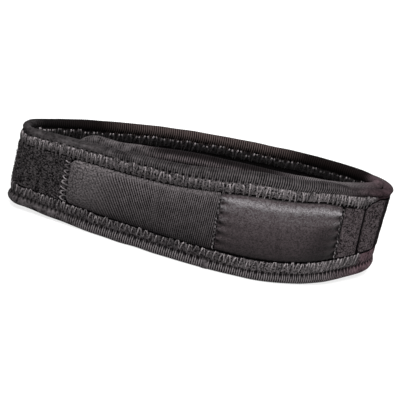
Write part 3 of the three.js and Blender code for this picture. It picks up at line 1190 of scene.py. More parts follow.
@dataclass
class EdgeBinding:
    """The knit tape folded over the strip's edge: a bead curled over it, then flat under the zigzag.
    """

    rim: RimPath
    plan: ZigzagPlan
    per_rib: int = 3
    rib_height: float = 0.11
    uneven: float = 0.1
    uneven_size: float = 14.0
    seed: int = 17
    pulled: float = 0.1
    slimmer: float = 0.25
    inner_swell: float = 0.3
    lap_turns: tuple[float, float] = (0.2405, 0.2475)
    lap_height: float = 0.3

    # Half of the section: share of the tape's width, and distance out of the strip's middle.
    SHELL = np.array([
        (0.93, 1.72), (0.72, 1.82), (0.56, 1.78), (0.49, 1.6), (0.455, 1.4), (0.42, 1.7),
        (0.34, 2.25), (0.22, 2.5), (0.11, 2.2), (0.035, 1.45), (0.0, 0.5),
    ])
    LINING = np.array([(0.12, 0.8), (0.93, 1.32)])
    USUAL_MARGIN = 10.0
    BEAD_END = (0.36, 0.46)  # shares of the width over which the bead ends
    LAP_EDGE = 0.0006  # turns over which the lapped end rises

    # Turns over which a part of the tape begins, and turns over which it ends.
    FRONT = (0.04, 0.1, 0.42, 0.5)
    # painted shade and light on the bead along the upper edge of the front
    ROLLED = (0.06, 0.1, 0.45, 0.52)
    # spans of painted shade on the back and round the right end of the back
    BACK = (0.5, 0.55, 0.955, 0.99)
    RIGHT_OF_BACK = (0.82, 0.92, 0.955, 0.99)
    BROWN = (0.52, 0.62, 0.94, 1.0)
    BEHIND_FRONT = (1.14, 1.2, 1.32, 1.37)
    # Centres and widths, in turns, of bells along the tape.
    SLIM = (0.515, 0.045)
    FAINT_LEFT, FAINT_RIGHT, FAINT_INNER = (0.48, 0.08), (0.03, 0.06), (1.0, 0.05)
    PLUM, PLUM_INNER = (0.02, 0.05), (1.0, 0.04)
    # bells of painted shade at the right end and the back's left corner, and of painted light on the
    # left
    DARK_RIGHT, DARK_CORNER, LIGHT_LEFT = (0.03, 0.05), (0.57, 0.07), (0.44, 0.06)

    # Turns over which something grows along the tape.
    # painted light from the right comes in over these turns
    LIT = (0.26, 0.17)
    TIGHTER = (0.2, 0.28)
    INNER_FAINT, TIP_FAINT = (1.05, 1.15), (1.3, 1.37)
    # painted shade on the upper edge goes out over these turns, on the inner layer
    INNER_LIGHT = (1.04, 1.1)

    BARE = (0.03, 0.04)  # turns from the middle of the bare end to the sewn part
    TUCK = 0.06  # half width of the lap's tuck into the groove, as a share of the tape's width

    def __post_init__(self) -> None:
        """Fits a whole number of ribs on the outline."""
        self.ribs = round(self.rim.length / RIB_PITCH)
        self.pitch = self.rim.length / self.ribs

    def _section(self) -> tuple[Array, Array]:
        """The closed section, from half of it and its mirror image.

        Returns:
            Its points, and the way out of the cloth at each one, square to its slope.
        """
        mirror = np.array([1, -1])
        shell = np.vstack([self.SHELL, self.SHELL[::-1] * mirror])
        slope = np.gradient(shell * (self.USUAL_MARGIN, 1), axis=0)
        way = np.stack([-slope[:, 1], slope[:, 0]], axis=1)
        way *= np.sign(way[0, 1])
        way /= np.linalg.norm(way, axis=1)[:, None]
        lining = np.vstack([self.LINING[::-1] * mirror, self.LINING])
        return np.vstack([shell, lining]), np.vstack([way, np.zeros_like(lining)])

    def build(self) -> bpy.types.Object:
        """Carries the section round the outline, with a rib at each pitch and a lapped join.

        Returns:
            The piece, without its finish.
        """
        rim = self.rim
        rings = self.ribs * self.per_rib
        along = np.arange(rings) * rim.length / rings
        turn = rim.turn(along)
        section, way = self._section()
        share, height = section.T
        bead = 1 - smoothstep(share, *self.BEAD_END)
        swell = self._swell(along, turn, section, bead)
        slim = self.slimmer * bell(turn, *self.SLIM) * rim.upper(along)
        depth = np.maximum(rim.depth(along[:, None], share) + way[:, 0] * swell, 0)
        out = height * (1 - slim[:, None] * bead) + way[:, 1] * swell
        points = rim.place(along[:, None], depth, out)
        signed = TAPE_MAP * share * np.sign(height)
        strip = np.stack(np.broadcast_arrays(along[:, None], signed), axis=-1)
        surface = Surface.lattice(points, strip, ring_rows=True, ring_cols=True)
        shape = points.shape[:2]
        marks = self._marks(along, turn).items()
        surface.marked(**{key: np.broadcast_to(value[:, None], shape) for key, value in marks})
        return surface.build("edge_binding_tape")

    def _swell(self, along: Array, turn: Array, section: Array, bead: Array) -> Array:
        """How far the cloth stands out of the plain section, ring by ring.

        Args:
            along: millimetres along the outline.
            turn: turns along the strip.
            section: the section's points.
            bead: 1 on the section's bead and 0 on its flat part.

        Returns:
            Millimetres from ribs, unevenness, the pull of stitches, the lap and the inner pass.
        """
        lap = self._lap(along, turn)
        crest = (np.cos(TAU * along / self.pitch) - 1) / 2
        ribbed = self.rib_height * self._clearness(along, turn) * (1 - lap) * crest
        soft = self.uneven * ripple(along, np.zeros_like(along), self.uneven_size, self.seed)
        pull = self.pulled * (0.5 + 0.5 * np.cos(TAU * self.plan.count(along)))
        swell = ribbed[:, None] + soft[:, None] * bead - pull[:, None] * (1 - bead)
        tuck = bell(section[:, 0], GROOVE, self.TUCK)
        swell = swell + self.lap_height * lap[:, None] * (0.35 + 0.65 * tuck)
        inside = self.inner_swell * smoothstep(turn, *INNER_PASS)
        return swell + inside[:, None] * bead * (section[:, 1] > 0)

    def _marks(self, along: Array, turn: Array) -> dict[str, Array]:
        """Values for the finish, each a sum or product of ramps and bells along the strip.

        Args:
            along: millimetres along the outline.
            turn: turns along the strip.

        Returns:
            Values by name, one for each ring.
        """
        upper, lap = self.rim.upper(along), self._lap(along, turn)
        lit = smoothstep(turn, *self.LIT)
        inside = window(turn, self.BEHIND_FRONT)
        return {
            "clear": self._clearness(along, turn) * (1 - lap),
            "brown": 0.8 * window(turn, self.BROWN),
            # Painted shade on the tape.
            "level": self._painted_shade_level(upper, turn),
            "plum": bell(turn, *self.PLUM) + 0.8 * bell(turn, *self.PLUM_INNER) + 0.2 * inside,
            "count": self.plan.count(along),
            # The groove's painted shade is weaker where painted light falls on the upper edge at the
            # right.
            "seam": (1 - lap) * (1 - 0.6 * upper * lit),
            "line": np.where(upper, 0.12, 0.45),
            "sewn": smoothstep(np.abs(turn - BARE_END), *self.BARE),
            # Painted shade under the zigzag, deeper on the lower edge, lighter where painted light
            # comes in.
            "bed": np.where(upper, 0.8 + 0.6 * lit, 0.34 + 0.42 * lit),
            # Painted shade on the top, painted light on the foot: front's upper bead and inner layer's
            # bead.
            "bead_shading": upper * window(turn, self.ROLLED) + inside,
            # Painted shade on the top of the inner layer's bead.
            "shady": inside,
        }

    def _lap(self, along: Array, turn: Array) -> Array:
        """1 on the join of the tape's two ends, on the lower edge of the front.

        Args:
            along: millimetres along the outline.
            turn: turns along the strip.

        Returns:
            1 on the join and 0 elsewhere.
        """
        start, end = self.lap_turns
        inside = window(turn, (start - self.LAP_EDGE, start, end, end + self.LAP_EDGE))
        return inside * ~self.rim.upper(along)

    def _clearness(self, along: Array, turn: Array) -> Array:
        """How clear the ribs are: faint round the two ends and on the upper edge of the front.

        Args:
            along: millimetres along the outline.
            turn: turns along the strip.

        Returns:
            From 0 to 1.
        """
        stretched = 0.45 + 0.15 * smoothstep(turn, *self.TIGHTER)
        front = np.where(self.rim.upper(along), stretched, 0.2) * window(turn, self.FRONT)
        left = bell(turn, *self.FAINT_LEFT)
        right = bell(turn, *self.FAINT_RIGHT) + bell(turn, *self.FAINT_INNER)
        inner = 0.35 * smoothstep(turn, *self.INNER_FAINT) + 0.5 * smoothstep(turn, *self.TIP_FAINT)
        return np.clip(1 - 0.95 * left - 0.75 * right - inner - front, 0, 1)

    def _painted_shade_level(self, upper: Array, turn: Array) -> Array:
        """Painted shade and light on the tape: darker on the upper edge, at the right end and on the
        back.

        Args:
            upper: true on the upper edge.
            turn: turns along the strip.

        Returns:
            From nearly 0 to 1.
        """
        right, left = bell(turn, *self.DARK_RIGHT), bell(turn, *self.LIGHT_LEFT)
        corners = bell(turn, *self.DARK_CORNER) + window(turn, self.RIGHT_OF_BACK)
        inner = smoothstep(turn, *self.INNER_LIGHT)
        dark = 0.3 * upper * (1 - inner) + 0.35 * right * upper
        dark = dark + 0.26 * window(turn, self.BACK) + 0.55 * corners - 0.12 * left
        return np.clip(1 - dark, 0.05, 1)


@dataclass
class StitchRow:
    """Zigzag stitches along a line: flat threads that arch between tips and dive at the lower one."""

    ground: RimPath | PanelEnd
    side: Side
    wide: float = 0.34
    tall: float = 0.22
    lift: float = 0.12
    seed: int = 11
    lighter: float = 0.55
    uneven: float = 0.22
    loose: float = 0.22
    split: float = 0.35
    sides: int = 6

    SHARES = np.array([0, 0.07, 0.2, 0.4, 0.6, 0.8, 0.93, 1.0])
    LOOSE_ACROSS = 1.8  # how much looser the tips lie across the line than along it
    SWAY = 0.14  # spread of the threads' bows along the line
    CLIMB, ARCH = 0.14, 0.07  # how much higher a climbing thread arches, and the spread of that
    DIVE = 0.45  # how deep a thread goes into the cloth at its lower end
    GIRTH = (0.72, 1.16)  # least and most of a thread's own share of the girth
    STEP_OUT = 0.2  # from a thread to the point that shows which way is out
    CONTRAST = 0.08  # painted light and shade: climbing threads, which arch higher, are lighter by this, falling ones darker

    def build(self, name: str, tips: Tips) -> bpy.types.Object:
        """Lays a stitch between each two neighbouring tips, except where the light is 0.

        A thread goes from its lower to its upper tip along powers of the share up it, bows
        along the line, arches out as a power of a sine and dives into the cloth at its foot.

        Args:
            name: the piece's name.
            tips: the tips.

        Returns:
            The piece, without its finish.
        """
        rng = np.random.default_rng(self.seed)
        number = len(tips.along)
        along = tips.along + rng.normal(0, self.loose, number)
        across = tips.across + rng.normal(0, self.LOOSE_ACROSS * self.loose, number)
        sewn = tips.light[1:] > 0
        climbs, light = tips.upper[1:][sewn], tips.light[1:][sewn]
        stitches = len(climbs)
        up = self.SHARES
        (u, du), (w, dw), (h, dh) = (
            self._span(values, tips.upper[1:], sewn) for values in (along, across, tips.cloth))
        sway = rng.normal(0, self.SWAY, (stitches, 1)) * np.sin(np.pi * up)
        u = u + du * (0.5 + (up**1.3 - 0.5) * (1 - self.split)) + sway
        w = w + dw * (1 - (1 - up) ** 1.5)
        over = self.CLIMB * climbs[:, None] + rng.normal(0, self.ARCH, (stitches, 1))
        out = h + dh * up + (self.lift + over) * np.sin(np.pi * up) ** 0.6
        out = out - self.DIVE * (1 - up) ** 6
        lines = self.ground.place(u, w, self.side.value * out)
        upright = self.ground.place(u, w, self.side.value * (out + self.STEP_OUT)) - lines
        taper = (0.72 + 0.28 * up) * (1 - 0.4 * (1 - up) ** 8)
        girth = rng.uniform(*self.GIRTH, (stitches, 1)) * taper
        surface = Surface.tubes(lines, upright, self.wide * girth, self.tall * girth, self.sides)
        shade = self.lighter + np.where(climbs, self.CONTRAST, -self.CONTRAST)
        shade = shade + rng.normal(0, self.uneven, stitches)
        each = len(surface.points) // stitches
        surface.marked(
            shade=np.repeat(np.clip(shade * light, 0.03, 1), each),
            round=np.tile(np.arange(self.sides) / self.sides, stitches * len(up)),
            even=np.repeat(tips.even[1:][sewn], each))
        return surface.build(name)

    @staticmethod
    def _span(values: Array, climbs: Array, sewn: Array) -> tuple[Array, Array]:
        """Sorts the values at each stitch's two tips by height.

        Args:
            values: one for each tip.
            climbs: true where a stitch ends at its upper tip.
            sewn: which stitches there are.

        Returns:
            Values at the lower tips, and what is added up to the upper ones.
        """
        low = np.where(climbs, values[:-1], values[1:])[sewn]
        high = np.where(climbs, values[1:], values[:-1])[sewn]
        return low[:, None], (high - low)[:, None]


@dataclass
class PanelEnd:
    """The line up the end of a panel, which a row of stitches follows from foot to top."""

    space: StrapSpace
    turn: float
    lean: float

    def __post_init__(self) -> None:
        """Measures the foot and the height of the panel's end."""
        low, high = self.space.between_tapes(np.array(self.turn), 0)
        self.foot, self.height = float(low), float(high - low)

    def place(self, along: Array, across: Array, out: Array) -> Array:
        """Points beside the line, which leans evenly from foot to top.

        Args:
            along: height above the panel's foot.
            across: distance along the strip.
            out: distance out of the strip's middle.

        Returns:
            Points with x, y and z on the last axis.
        """
        share = along / self.height
        turn = self.turn + self.space.turns(across + self.lean * (share - 0.5))
        return self.space.spot(turn, self.foot + along, out)


@dataclass(frozen=True)
class Face:
    """Places of a panel's face, all as columns by rows.

    Ends and rims are distances from the nearer end and from the nearer rim.
    """

    turn: Array
    along: Array
    z: Array
    ends: Array
    rims: Array
    share: Array

    def crease(self, width: float) -> Array:
        """Painted shade at the face's edge: 1 there, falling to 0 over a width in from it."""
        return 1 - smoothstep(np.minimum(self.ends, self.rims), 0.3 * width, width)

    def above(self) -> Array:
        """Millimetres up from the foot of a front panel."""
        return self.share * PANEL_HEIGHT

    def below(self) -> Array:
        """Millimetres down from the top of a front panel."""
        return (1 - self.share) * PANEL_HEIGHT

    def soft(self, height: float, size: float, seed: int) -> Array:
        """Unevenness of a padded face, level at its rims."""
        return height * ripple(self.along, self.z, size, seed) * smoothstep(self.rims, 0, 3)

    def pulled(self, depth: float, reach: float, pitch: float) -> Array:
        """Dents along the rims where stitches of a pitch pull the cloth down."""
        rims = -depth * np.exp(-self.rims / reach)
        return rims * (1 + np.cos(TAU * self.along / pitch)) * smoothstep(self.ends, 0, 2)


@dataclass
class Panel:
    """A panel on a face of the strip, flat or swelling from its rim to a padded middle."""

    space: StrapSpace
    name: str
    node: str
    start: float
    end: float
    lean_start: float = 0.0
    lean_end: float = 0.0
    inset: float = 0.0
    corners: tuple[float, float] = (3.0, 3.0)
    edge: float = 0.5
    crown: float = 0.0
    side: Side = Side.OUTER
    step: float = 0.6
    rows: int = 44
    seed: int = 0

    RIM = 1.1  # width of the rounded rim
    THIN = 0.12  # thickness at the very edge
    CLOSER_ENDS, CLOSER_RIMS = 0.35, 0.6  # how much closer the points lie at ends and rims
    END_LENGTH = 12.0  # longest panel whose ends have the full closeness

    @property
    def length(self) -> float:
        """Millimetres along the strip."""
        return (self.end - self.start) * self.space.length

    def face(self) -> Face:
        """A grid of even shares less a sine wave, so that its points lie closer at ends and rims.

        Returns:
            Places of the face.
        """
        length = self.length
        even = np.linspace(0, 1, int(length / self.step))
        closer = self.CLOSER_ENDS * np.sin(TAU * even) / TAU * min(1.0, self.END_LENGTH / length)
        run = length * (even - closer)
        turn = self.start + self.space.turns(run)
        from_end = np.minimum(run, length - run)
        corner = np.where(run < length / 2, *self.corners)
        pulled_in = self.inset + corner * (1 - eased(from_end, corner))
        low, high = self.space.between_tapes(turn, pulled_in)
        even = np.linspace(0, 1, self.rows)
        share = even - self.CLOSER_RIMS * np.sin(TAU * even) / TAU
        lean = self.lean_start + (self.lean_end - self.lean_start) * run / length
        slanted = turn[:, None] + self.space.turns(lean)[:, None] * (share - 0.5)
        z = low[:, None] + share * (high - low)[:, None]
        rims = np.minimum(share, 1 - share) * (high - low)[:, None]
        ends, share = np.broadcast_to(from_end[:, None], z.shape), np.broadcast_to(share, z.shape)
        return Face(slanted, slanted * self.space.length, z, ends, rims, share)

    def thickness(self, face: Face) -> Array:
        """A rounded rim, and a crown that is level over the middle and swells from the ends.

        Args:
            face: places of the face.

        Returns:
            Millimetres above the seat.
        """
        rim = eased(face.rims, self.RIM) * eased(face.ends, self.RIM)
        swell = smoothstep(face.ends, 0, END_RISE)
        return self.THIN + self.edge * rim + self.crown * swell * (1 - (2 * face.share - 1) ** 4)

    def piece(self, finish: bpy.types.Material, slot: Slot, face: Face,
              relief: Array | float = 0.0, **marks: Array) -> bpy.types.Object:
        """The closed panel: its face raised by its thickness and relief, its back on the strip.

        Args:
            finish: the panel's material.
            slot: the record's slot; not used.
            face: places of the face.
            relief: millimetres added to it.
            marks: named values for its points.

        Returns:
            The dressed piece.
        """
        raised = SEAT + self.thickness(face) + relief
        columns = np.concatenate([[self.rows - 1, 0], np.arange(self.rows)])
        out = np.concatenate([np.full((len(raised), 2), SEAT), raised], axis=1) * self.side.value
        points = self.space.spot(face.turn[:, columns], face.z[:, columns], out)
        strip = np.stack([face.along[:, columns], face.z[:, columns]], axis=-1)
        surface = Surface.lattice(points, strip, ring_cols=True, capped=True)
        surface.marked(**{key: value[:, columns] for key, value in marks.items()})
        return wear(surface.build(self.name), finish, self.node)

    def flat(self) -> tuple[float, float]:
        """Width and length of the cut, in metres."""
        low, high = self.space.between_tapes(np.array(0.5 * (self.start + self.end)), self.inset)
        return float(high - low) * MM, self.length * MM


@dataclass
class FrontPanel(Panel):
    """The padded twill panel on the left of the front."""

    rib_height: float = 0.06

    # Slanted ribs counted in a millimetre: along the strip, turn by turn, and up the panel.
    ALONG_ROWS = np.array([(0.3, 0.96), (0.35, 0.84), (0.37, 0.76), (0.39, 0.64), (0.434, 0.4)])
    UP = 0.47
    SAMPLES = 600
    SLANT_TURNS = (0.312, 0.328)  # where the upright ribs give way to the slanted ones
    CLEAR = (4, 28)  # millimetres from the left end over which the ribs come out
    FOOT = 1.6  # millimetres in which the painted shade at the foot fades
    FOOT_END = (0, 6)  # millimetres from the left end over which the painted shade at the foot comes in
    SEAM = (0.1, 0.5)  # millimetres from the right end over which the painted shade at the seam fades
    TOP = (1.0, 1.0)  # millimetres from the top to the middle of its plain rim, and its half width

    def build(self) -> None:
        """Fine ribs up the panel, slanted on its left half and fading at its left end."""
        face = self.face()
        left = (self.end - face.turn) * self.space.length
        right = (face.turn - self.start) * self.space.length
        clear = smoothstep(left, *self.CLEAR)
        upright, slanted, slant = self._ribs(face)
        crest = (1 - slant) * np.cos(TAU * upright) + slant * np.cos(TAU * slanted)
        relief = self.rib_height * crest * clear + face.soft(0.12, 9.0, self.seed)
        relief = relief + face.pulled(depth=0.16, reach=1.3, pitch=2.9)
        foot = np.exp(-face.above() / self.FOOT) * smoothstep(left, *self.FOOT_END)
        seam = 0.4 * (1 - smoothstep(right, *self.SEAM))
        top = bell(face.below(), *self.TOP) * 0.7
        # Painted shade: the level mark darkens the panel towards its foot, the crease mark its foot
        # and its seam on the right.
        piece = self.piece(
            Twill().material(), Slot.TWILL, face, relief, upright=upright, slanted=slanted,
            slant=slant, level=0.44 + 0.66 * face.share, plain=np.clip(1 - clear + top, 0, 1),
            crease=np.clip(0.9 * foot + seam, 0, 1))

    def _ribs(self, face: Face) -> tuple[Array, Array, Array]:
        """Counts ribs: length over pitch for upright ones, a summed rate less height for slanted ones.

        Args:
            face: places of the face.

        Returns:
            Upright count, slanted count and share of the slanted ones.
        """
        along = np.linspace(self.start, self.end, self.SAMPLES) * self.space.length
        rate = np.interp(self.space.turns(along), self.ALONG_ROWS[:, 0], self.ALONG_ROWS[:, 1])
        counted = np.concatenate([[0.0], np.cumsum(np.diff(along) * rate[:-1])])
        slanted = np.interp(face.along, along, counted) - self.UP * face.z
        return face.along / TWILL_PITCH, slanted, smoothstep(face.turn, *self.SLANT_TURNS)


@dataclass
class BadgePanel(Panel):
    """The padded satin panel on the right of the front, gathered at its two ends."""

    gather: float = 0.5
    dent: float = 0.4

    FIRST_FOLDS = (3.9, 2.2)  # millimetres from the top to the first fold: right half, left half
    FOLD_PITCH = 4.6
    FOLD_REACH = 3.6  # millimetres in from an end in which the folds die away
    DENT_PITCH = 2.2
    DENT_ROW = (1.1, 0.6)  # millimetres from an end to its row of dents, and half their width
    FOOT = 1.1  # millimetres in which the painted shade at the foot fades
    # Bands of the painted highlight, and of painted shade at the rim: millimetres from the top to the
    # middle of one, and half its width.
    BRIGHT, SOFT, DIM_RIM = (3.0, 1.5), (7.5, 3.2), (0.0, 1.4)
    DIM_RIGHT = (0.11, 0.14)  # turns over which the painted shade on the right end fades
    DIM_LOW = (0.5, 0.78)  # shares of the height over which the painted shade on the lower part fades

    def build(self) -> None:
        """Puckers run in from both ends and die away, and stitches pull the rims."""
        face = self.face()
        below = face.below()
        middle = 0.5 * (self.start + self.end) * self.space.length
        first = np.where(face.along < middle, *self.FIRST_FOLDS)
        fold = np.cos(TAU * (below - first) / self.FOLD_PITCH + 0.5 * np.sin(below * 0.3))
        depth = np.exp(-face.ends / self.FOLD_REACH) * smoothstep(face.ends, 0, 1.2)
        puckers = fold * (depth * smoothstep(face.rims, 0, 3))
        hole = self._holes(face)
        relief = self.gather * puckers + face.pulled(depth=0.2, reach=1.4, pitch=2.7)
        relief = relief + face.soft(0.1, 11.0, self.seed) - self.dent * hole
        foot = np.exp(-face.above() / self.FOOT)
        # The crease mark is painted shade: in the stitch dents, at the foot and along the rims.
        crease = np.clip(0.9 * hole + 0.75 * foot + 0.6 * face.crease(0.5), 0, 1)
        # Painted highlight: the gloss bands, lighter on the crests of the puckers and darker in their
        # troughs.
        painted_gloss = self._painted_gloss(face) * np.clip(1 + 1.3 * puckers, 0.2, 2.4)
        piece = self.piece(
            Satin().material(), Slot.SATIN, face, relief, sheen=painted_gloss, crease=crease)

    def _painted_gloss(self, face: Face) -> Array:
        """Painted highlight: it grows up the panel to a bright band, with painted shade at the rim and
        low on the right.

        Args:
            face: places of the face.

        Returns:
            Shares of the gleam.
        """
        below = face.below()
        right = 1 - smoothstep(face.turn, *self.DIM_RIGHT)
        painted_gloss = 0.05 + 0.15 * face.share + 0.34 * bell(below, *self.BRIGHT)
        painted_gloss = (painted_gloss + 0.06 * bell(below, *self.SOFT)) * (1 - 0.4 * bell(below, *self.DIM_RIM))
        return painted_gloss * (1 - 0.5 * right * (1 - smoothstep(face.share, *self.DIM_LOW)))

    def _holes(self, face: Face) -> Array:
        """1 in the dents of the stitches beside the two ends, 0 elsewhere."""
        beside = bell(face.ends, *self.DENT_ROW) * smoothstep(face.rims, 1, 3)
        return beside * smoothstep(np.cos(TAU * face.z / self.DENT_PITCH), 0.1, 0.9)


@dataclass
class TailCloth(Panel):
    """A flat piece of brushed cloth on the tail, with a fold where it bends round the end."""

    fold: float = 0.0195

    FOLD_SPAN = (-0.4, 0.8, 3.0, 10.0)  # millimetres past the fold's turn
    FOLD_DEPTH = 0.3
    FIBRE, CLUMP = (0.05, 2.2), (0.06, 8.0)  # heights and sizes of the nap's relief

    def build(self) -> None:
        """A soft nap, with painted shade along its sewn edges and in the fold."""
        face = self.face()
        fold = window((self.fold - face.turn) * self.space.length, self.FOLD_SPAN)
        (low, fine), (high, broad) = self.FIBRE, self.CLUMP
        nap = low * ripple(face.along, face.z, fine, self.seed)
        nap = nap + high * ripple(face.along, face.z, broad, self.seed + 1)
        relief = nap * eased(face.ends, 2) * eased(face.rims, 2)
        relief = relief - self.FOLD_DEPTH * fold * smoothstep(face.rims, 0, 2)
        # The crease mark is painted shade along the sewn edges and in the fold, where the cloth turns
        # away from the light.
        piece = self.piece(
            BrushedCloth().material(), Slot.BRUSHED, face, relief,
            crease=np.clip(face.crease(0.8) + 0.8 * fold, 0, 1))
        self.flat()


@dataclass
class LoopPanel(Panel):
    """The long loop-pile panel round the left end and the back."""

    loops: int = 7000

    ROUGH, CLUMP = 1.5, 4.5  # sizes of the ground's relief
    ROUGH_WAVES = 20
    GAP = (0.35, 0.7)  # half widths of the loops
    RISE = (0.3, 0.75)  # their heights
    GIRTH = (0.06, 0.1)  # half the thickness of a fibre
    SUNK = 0.15  # how far their feet go into the ground
    FOOT = 0.12  # angle left off the half circle at each foot
    BORDER_TURNS, BORDER = 0.004, 0.6  # bare border at the ends, in turns, and at the rims
    SHADE = (0.62, 0.22)  # mean and spread of their shades
    STEP_BESIDE = 0.1  # from a loop to the point that shows its side
    POINTS, SIDES = 5, 3  # points along a loop, and corners of its section

    def build(self) -> None:
        """A rough ground cloth, with small loops of fibre standing on it as a piece of their own."""
        face = self.face()
        rough = ripple(face.along, face.z, self.ROUGH, self.seed, self.ROUGH_WAVES)
        clumps = ripple(face.along, face.z, self.CLUMP, self.seed + 1)
        relief = (0.16 * rough + 0.1 * clumps) * eased(face.rims, 1.5)
        shade = np.clip(0.5 + 0.3 * rough + 0.15 * clumps, 0, 1)
        ground = self.piece(LoopPile().material(), Slot.PILE, face, relief, shade=shade)
        pile = self._pile()
        self.flat()

    def _pile(self) -> bpy.types.Object:
        """Loops: half circles of thin fibre, each turned its own way, seeded.

        Returns:
            The pile piece.
        """
        space = self.space
        rng = np.random.default_rng(self.seed + 2)
        first, last = self.start + self.BORDER_TURNS, self.end - self.BORDER_TURNS
        turn = rng.uniform(first, last, (self.loops, 1))
        low, high = space.between_tapes(turn, self.inset + self.BORDER)
        z = low + rng.uniform(0, 1, turn.shape) * (high - low)
        way = rng.uniform(0, TAU, turn.shape)
        gap = rng.uniform(*self.GAP, turn.shape)
        rise = rng.uniform(*self.RISE, turn.shape)
        angle = np.linspace(self.FOOT, np.pi - self.FOOT, self.POINTS)
        reach = gap * np.cos(angle)
        out = SEAT + self.edge + rise * np.sin(angle) - self.SUNK
        lines = space.spot(turn + space.turns(reach * np.cos(way)), z + reach * np.sin(way), out)
        aside, up = self.STEP_BESIDE * np.sin(way), self.STEP_BESIDE * np.cos(way)
        side = space.spot(turn - space.turns(aside), z + up, out) - space.spot(turn, z, out)
        girth = np.broadcast_to(rng.uniform(*self.GIRTH, turn.shape), out.shape)
        surface = Surface.tubes(lines, side, girth, girth, self.SIDES)
        each = surface.points.shape[0] // self.loops
        shade = np.clip(rng.normal(*self.SHADE, self.loops), 0, 1)
        surface.marked(shade=np.repeat(shade, each))
        fibre = LoopPile("pile_fibre", dark=0.006, light=0.06).material()
        return wear(surface.build("loop_panel_pile"), fibre)


@dataclass
class HookPatch(Panel):
    """The stiff hook patch on the inner face of the tail."""

    spacing: float = 1.25

    BORDER, RIM_BORDER = 1.6, 1.4  # bare border at the ends and at the rims
    HEIGHT, REACH, DROP = 0.75, 0.28, 0.22  # of one hook
    BEND = 1.45 * math.pi  # angle from a hook's foot to its point
    SUNK = 0.1  # how far its foot goes into the base
    GIRTH = 0.1  # half its thickness
    POINTS, SIDES = 6, 4  # points along a hook, and corners of its section

    def build(self) -> None:
        """A woven base, with rows of small hooks standing on it as a piece of their own."""
        finish = HookNylon().material()
        base = self.piece(finish, Slot.HOOKS, self.face())
        hooks = wear(self._hooks().build("hook_patch_hooks"), finish)
        self.flat()

    def _hooks(self) -> Surface:
        """Hooks on a square grid, each bent one way or the other along the strip, seeded.

        Returns:
            The hooks as closed tubes.
        """
        rng = np.random.default_rng(self.seed)
        along = np.arange(self.BORDER, self.length - self.BORDER, self.spacing)
        middle = np.array(0.5 * (self.start + self.end))
        low, high = self.space.between_tapes(middle, self.inset + self.RIM_BORDER)
        heights = np.arange(float(low), float(high), self.spacing)
        u, h = (grid.reshape(-1, 1) for grid in np.meshgrid(along, heights))
        angle = np.linspace(0, self.BEND, self.POINTS)
        lean = self.REACH * (1 - np.cos(np.minimum(angle, np.pi))) * rng.choice([-1.0, 1.0], u.shape)
        rise = self.HEIGHT * np.sin(np.minimum(angle, np.pi / 2))
        rise = rise - self.DROP * np.maximum(0, angle - np.pi) / np.pi
        where = self.start + self.space.turns(u + lean)
        lines = self.space.spot(where, h, -(SEAT + self.edge - self.SUNK + rise))
        upright = np.broadcast_to(np.array([0.0, 0.0, 1.0]), lines.shape)
        girth = np.full(lines.shape[:2], self.GIRTH)
        return Surface.tubes(lines, upright, girth, girth, self.SIDES)


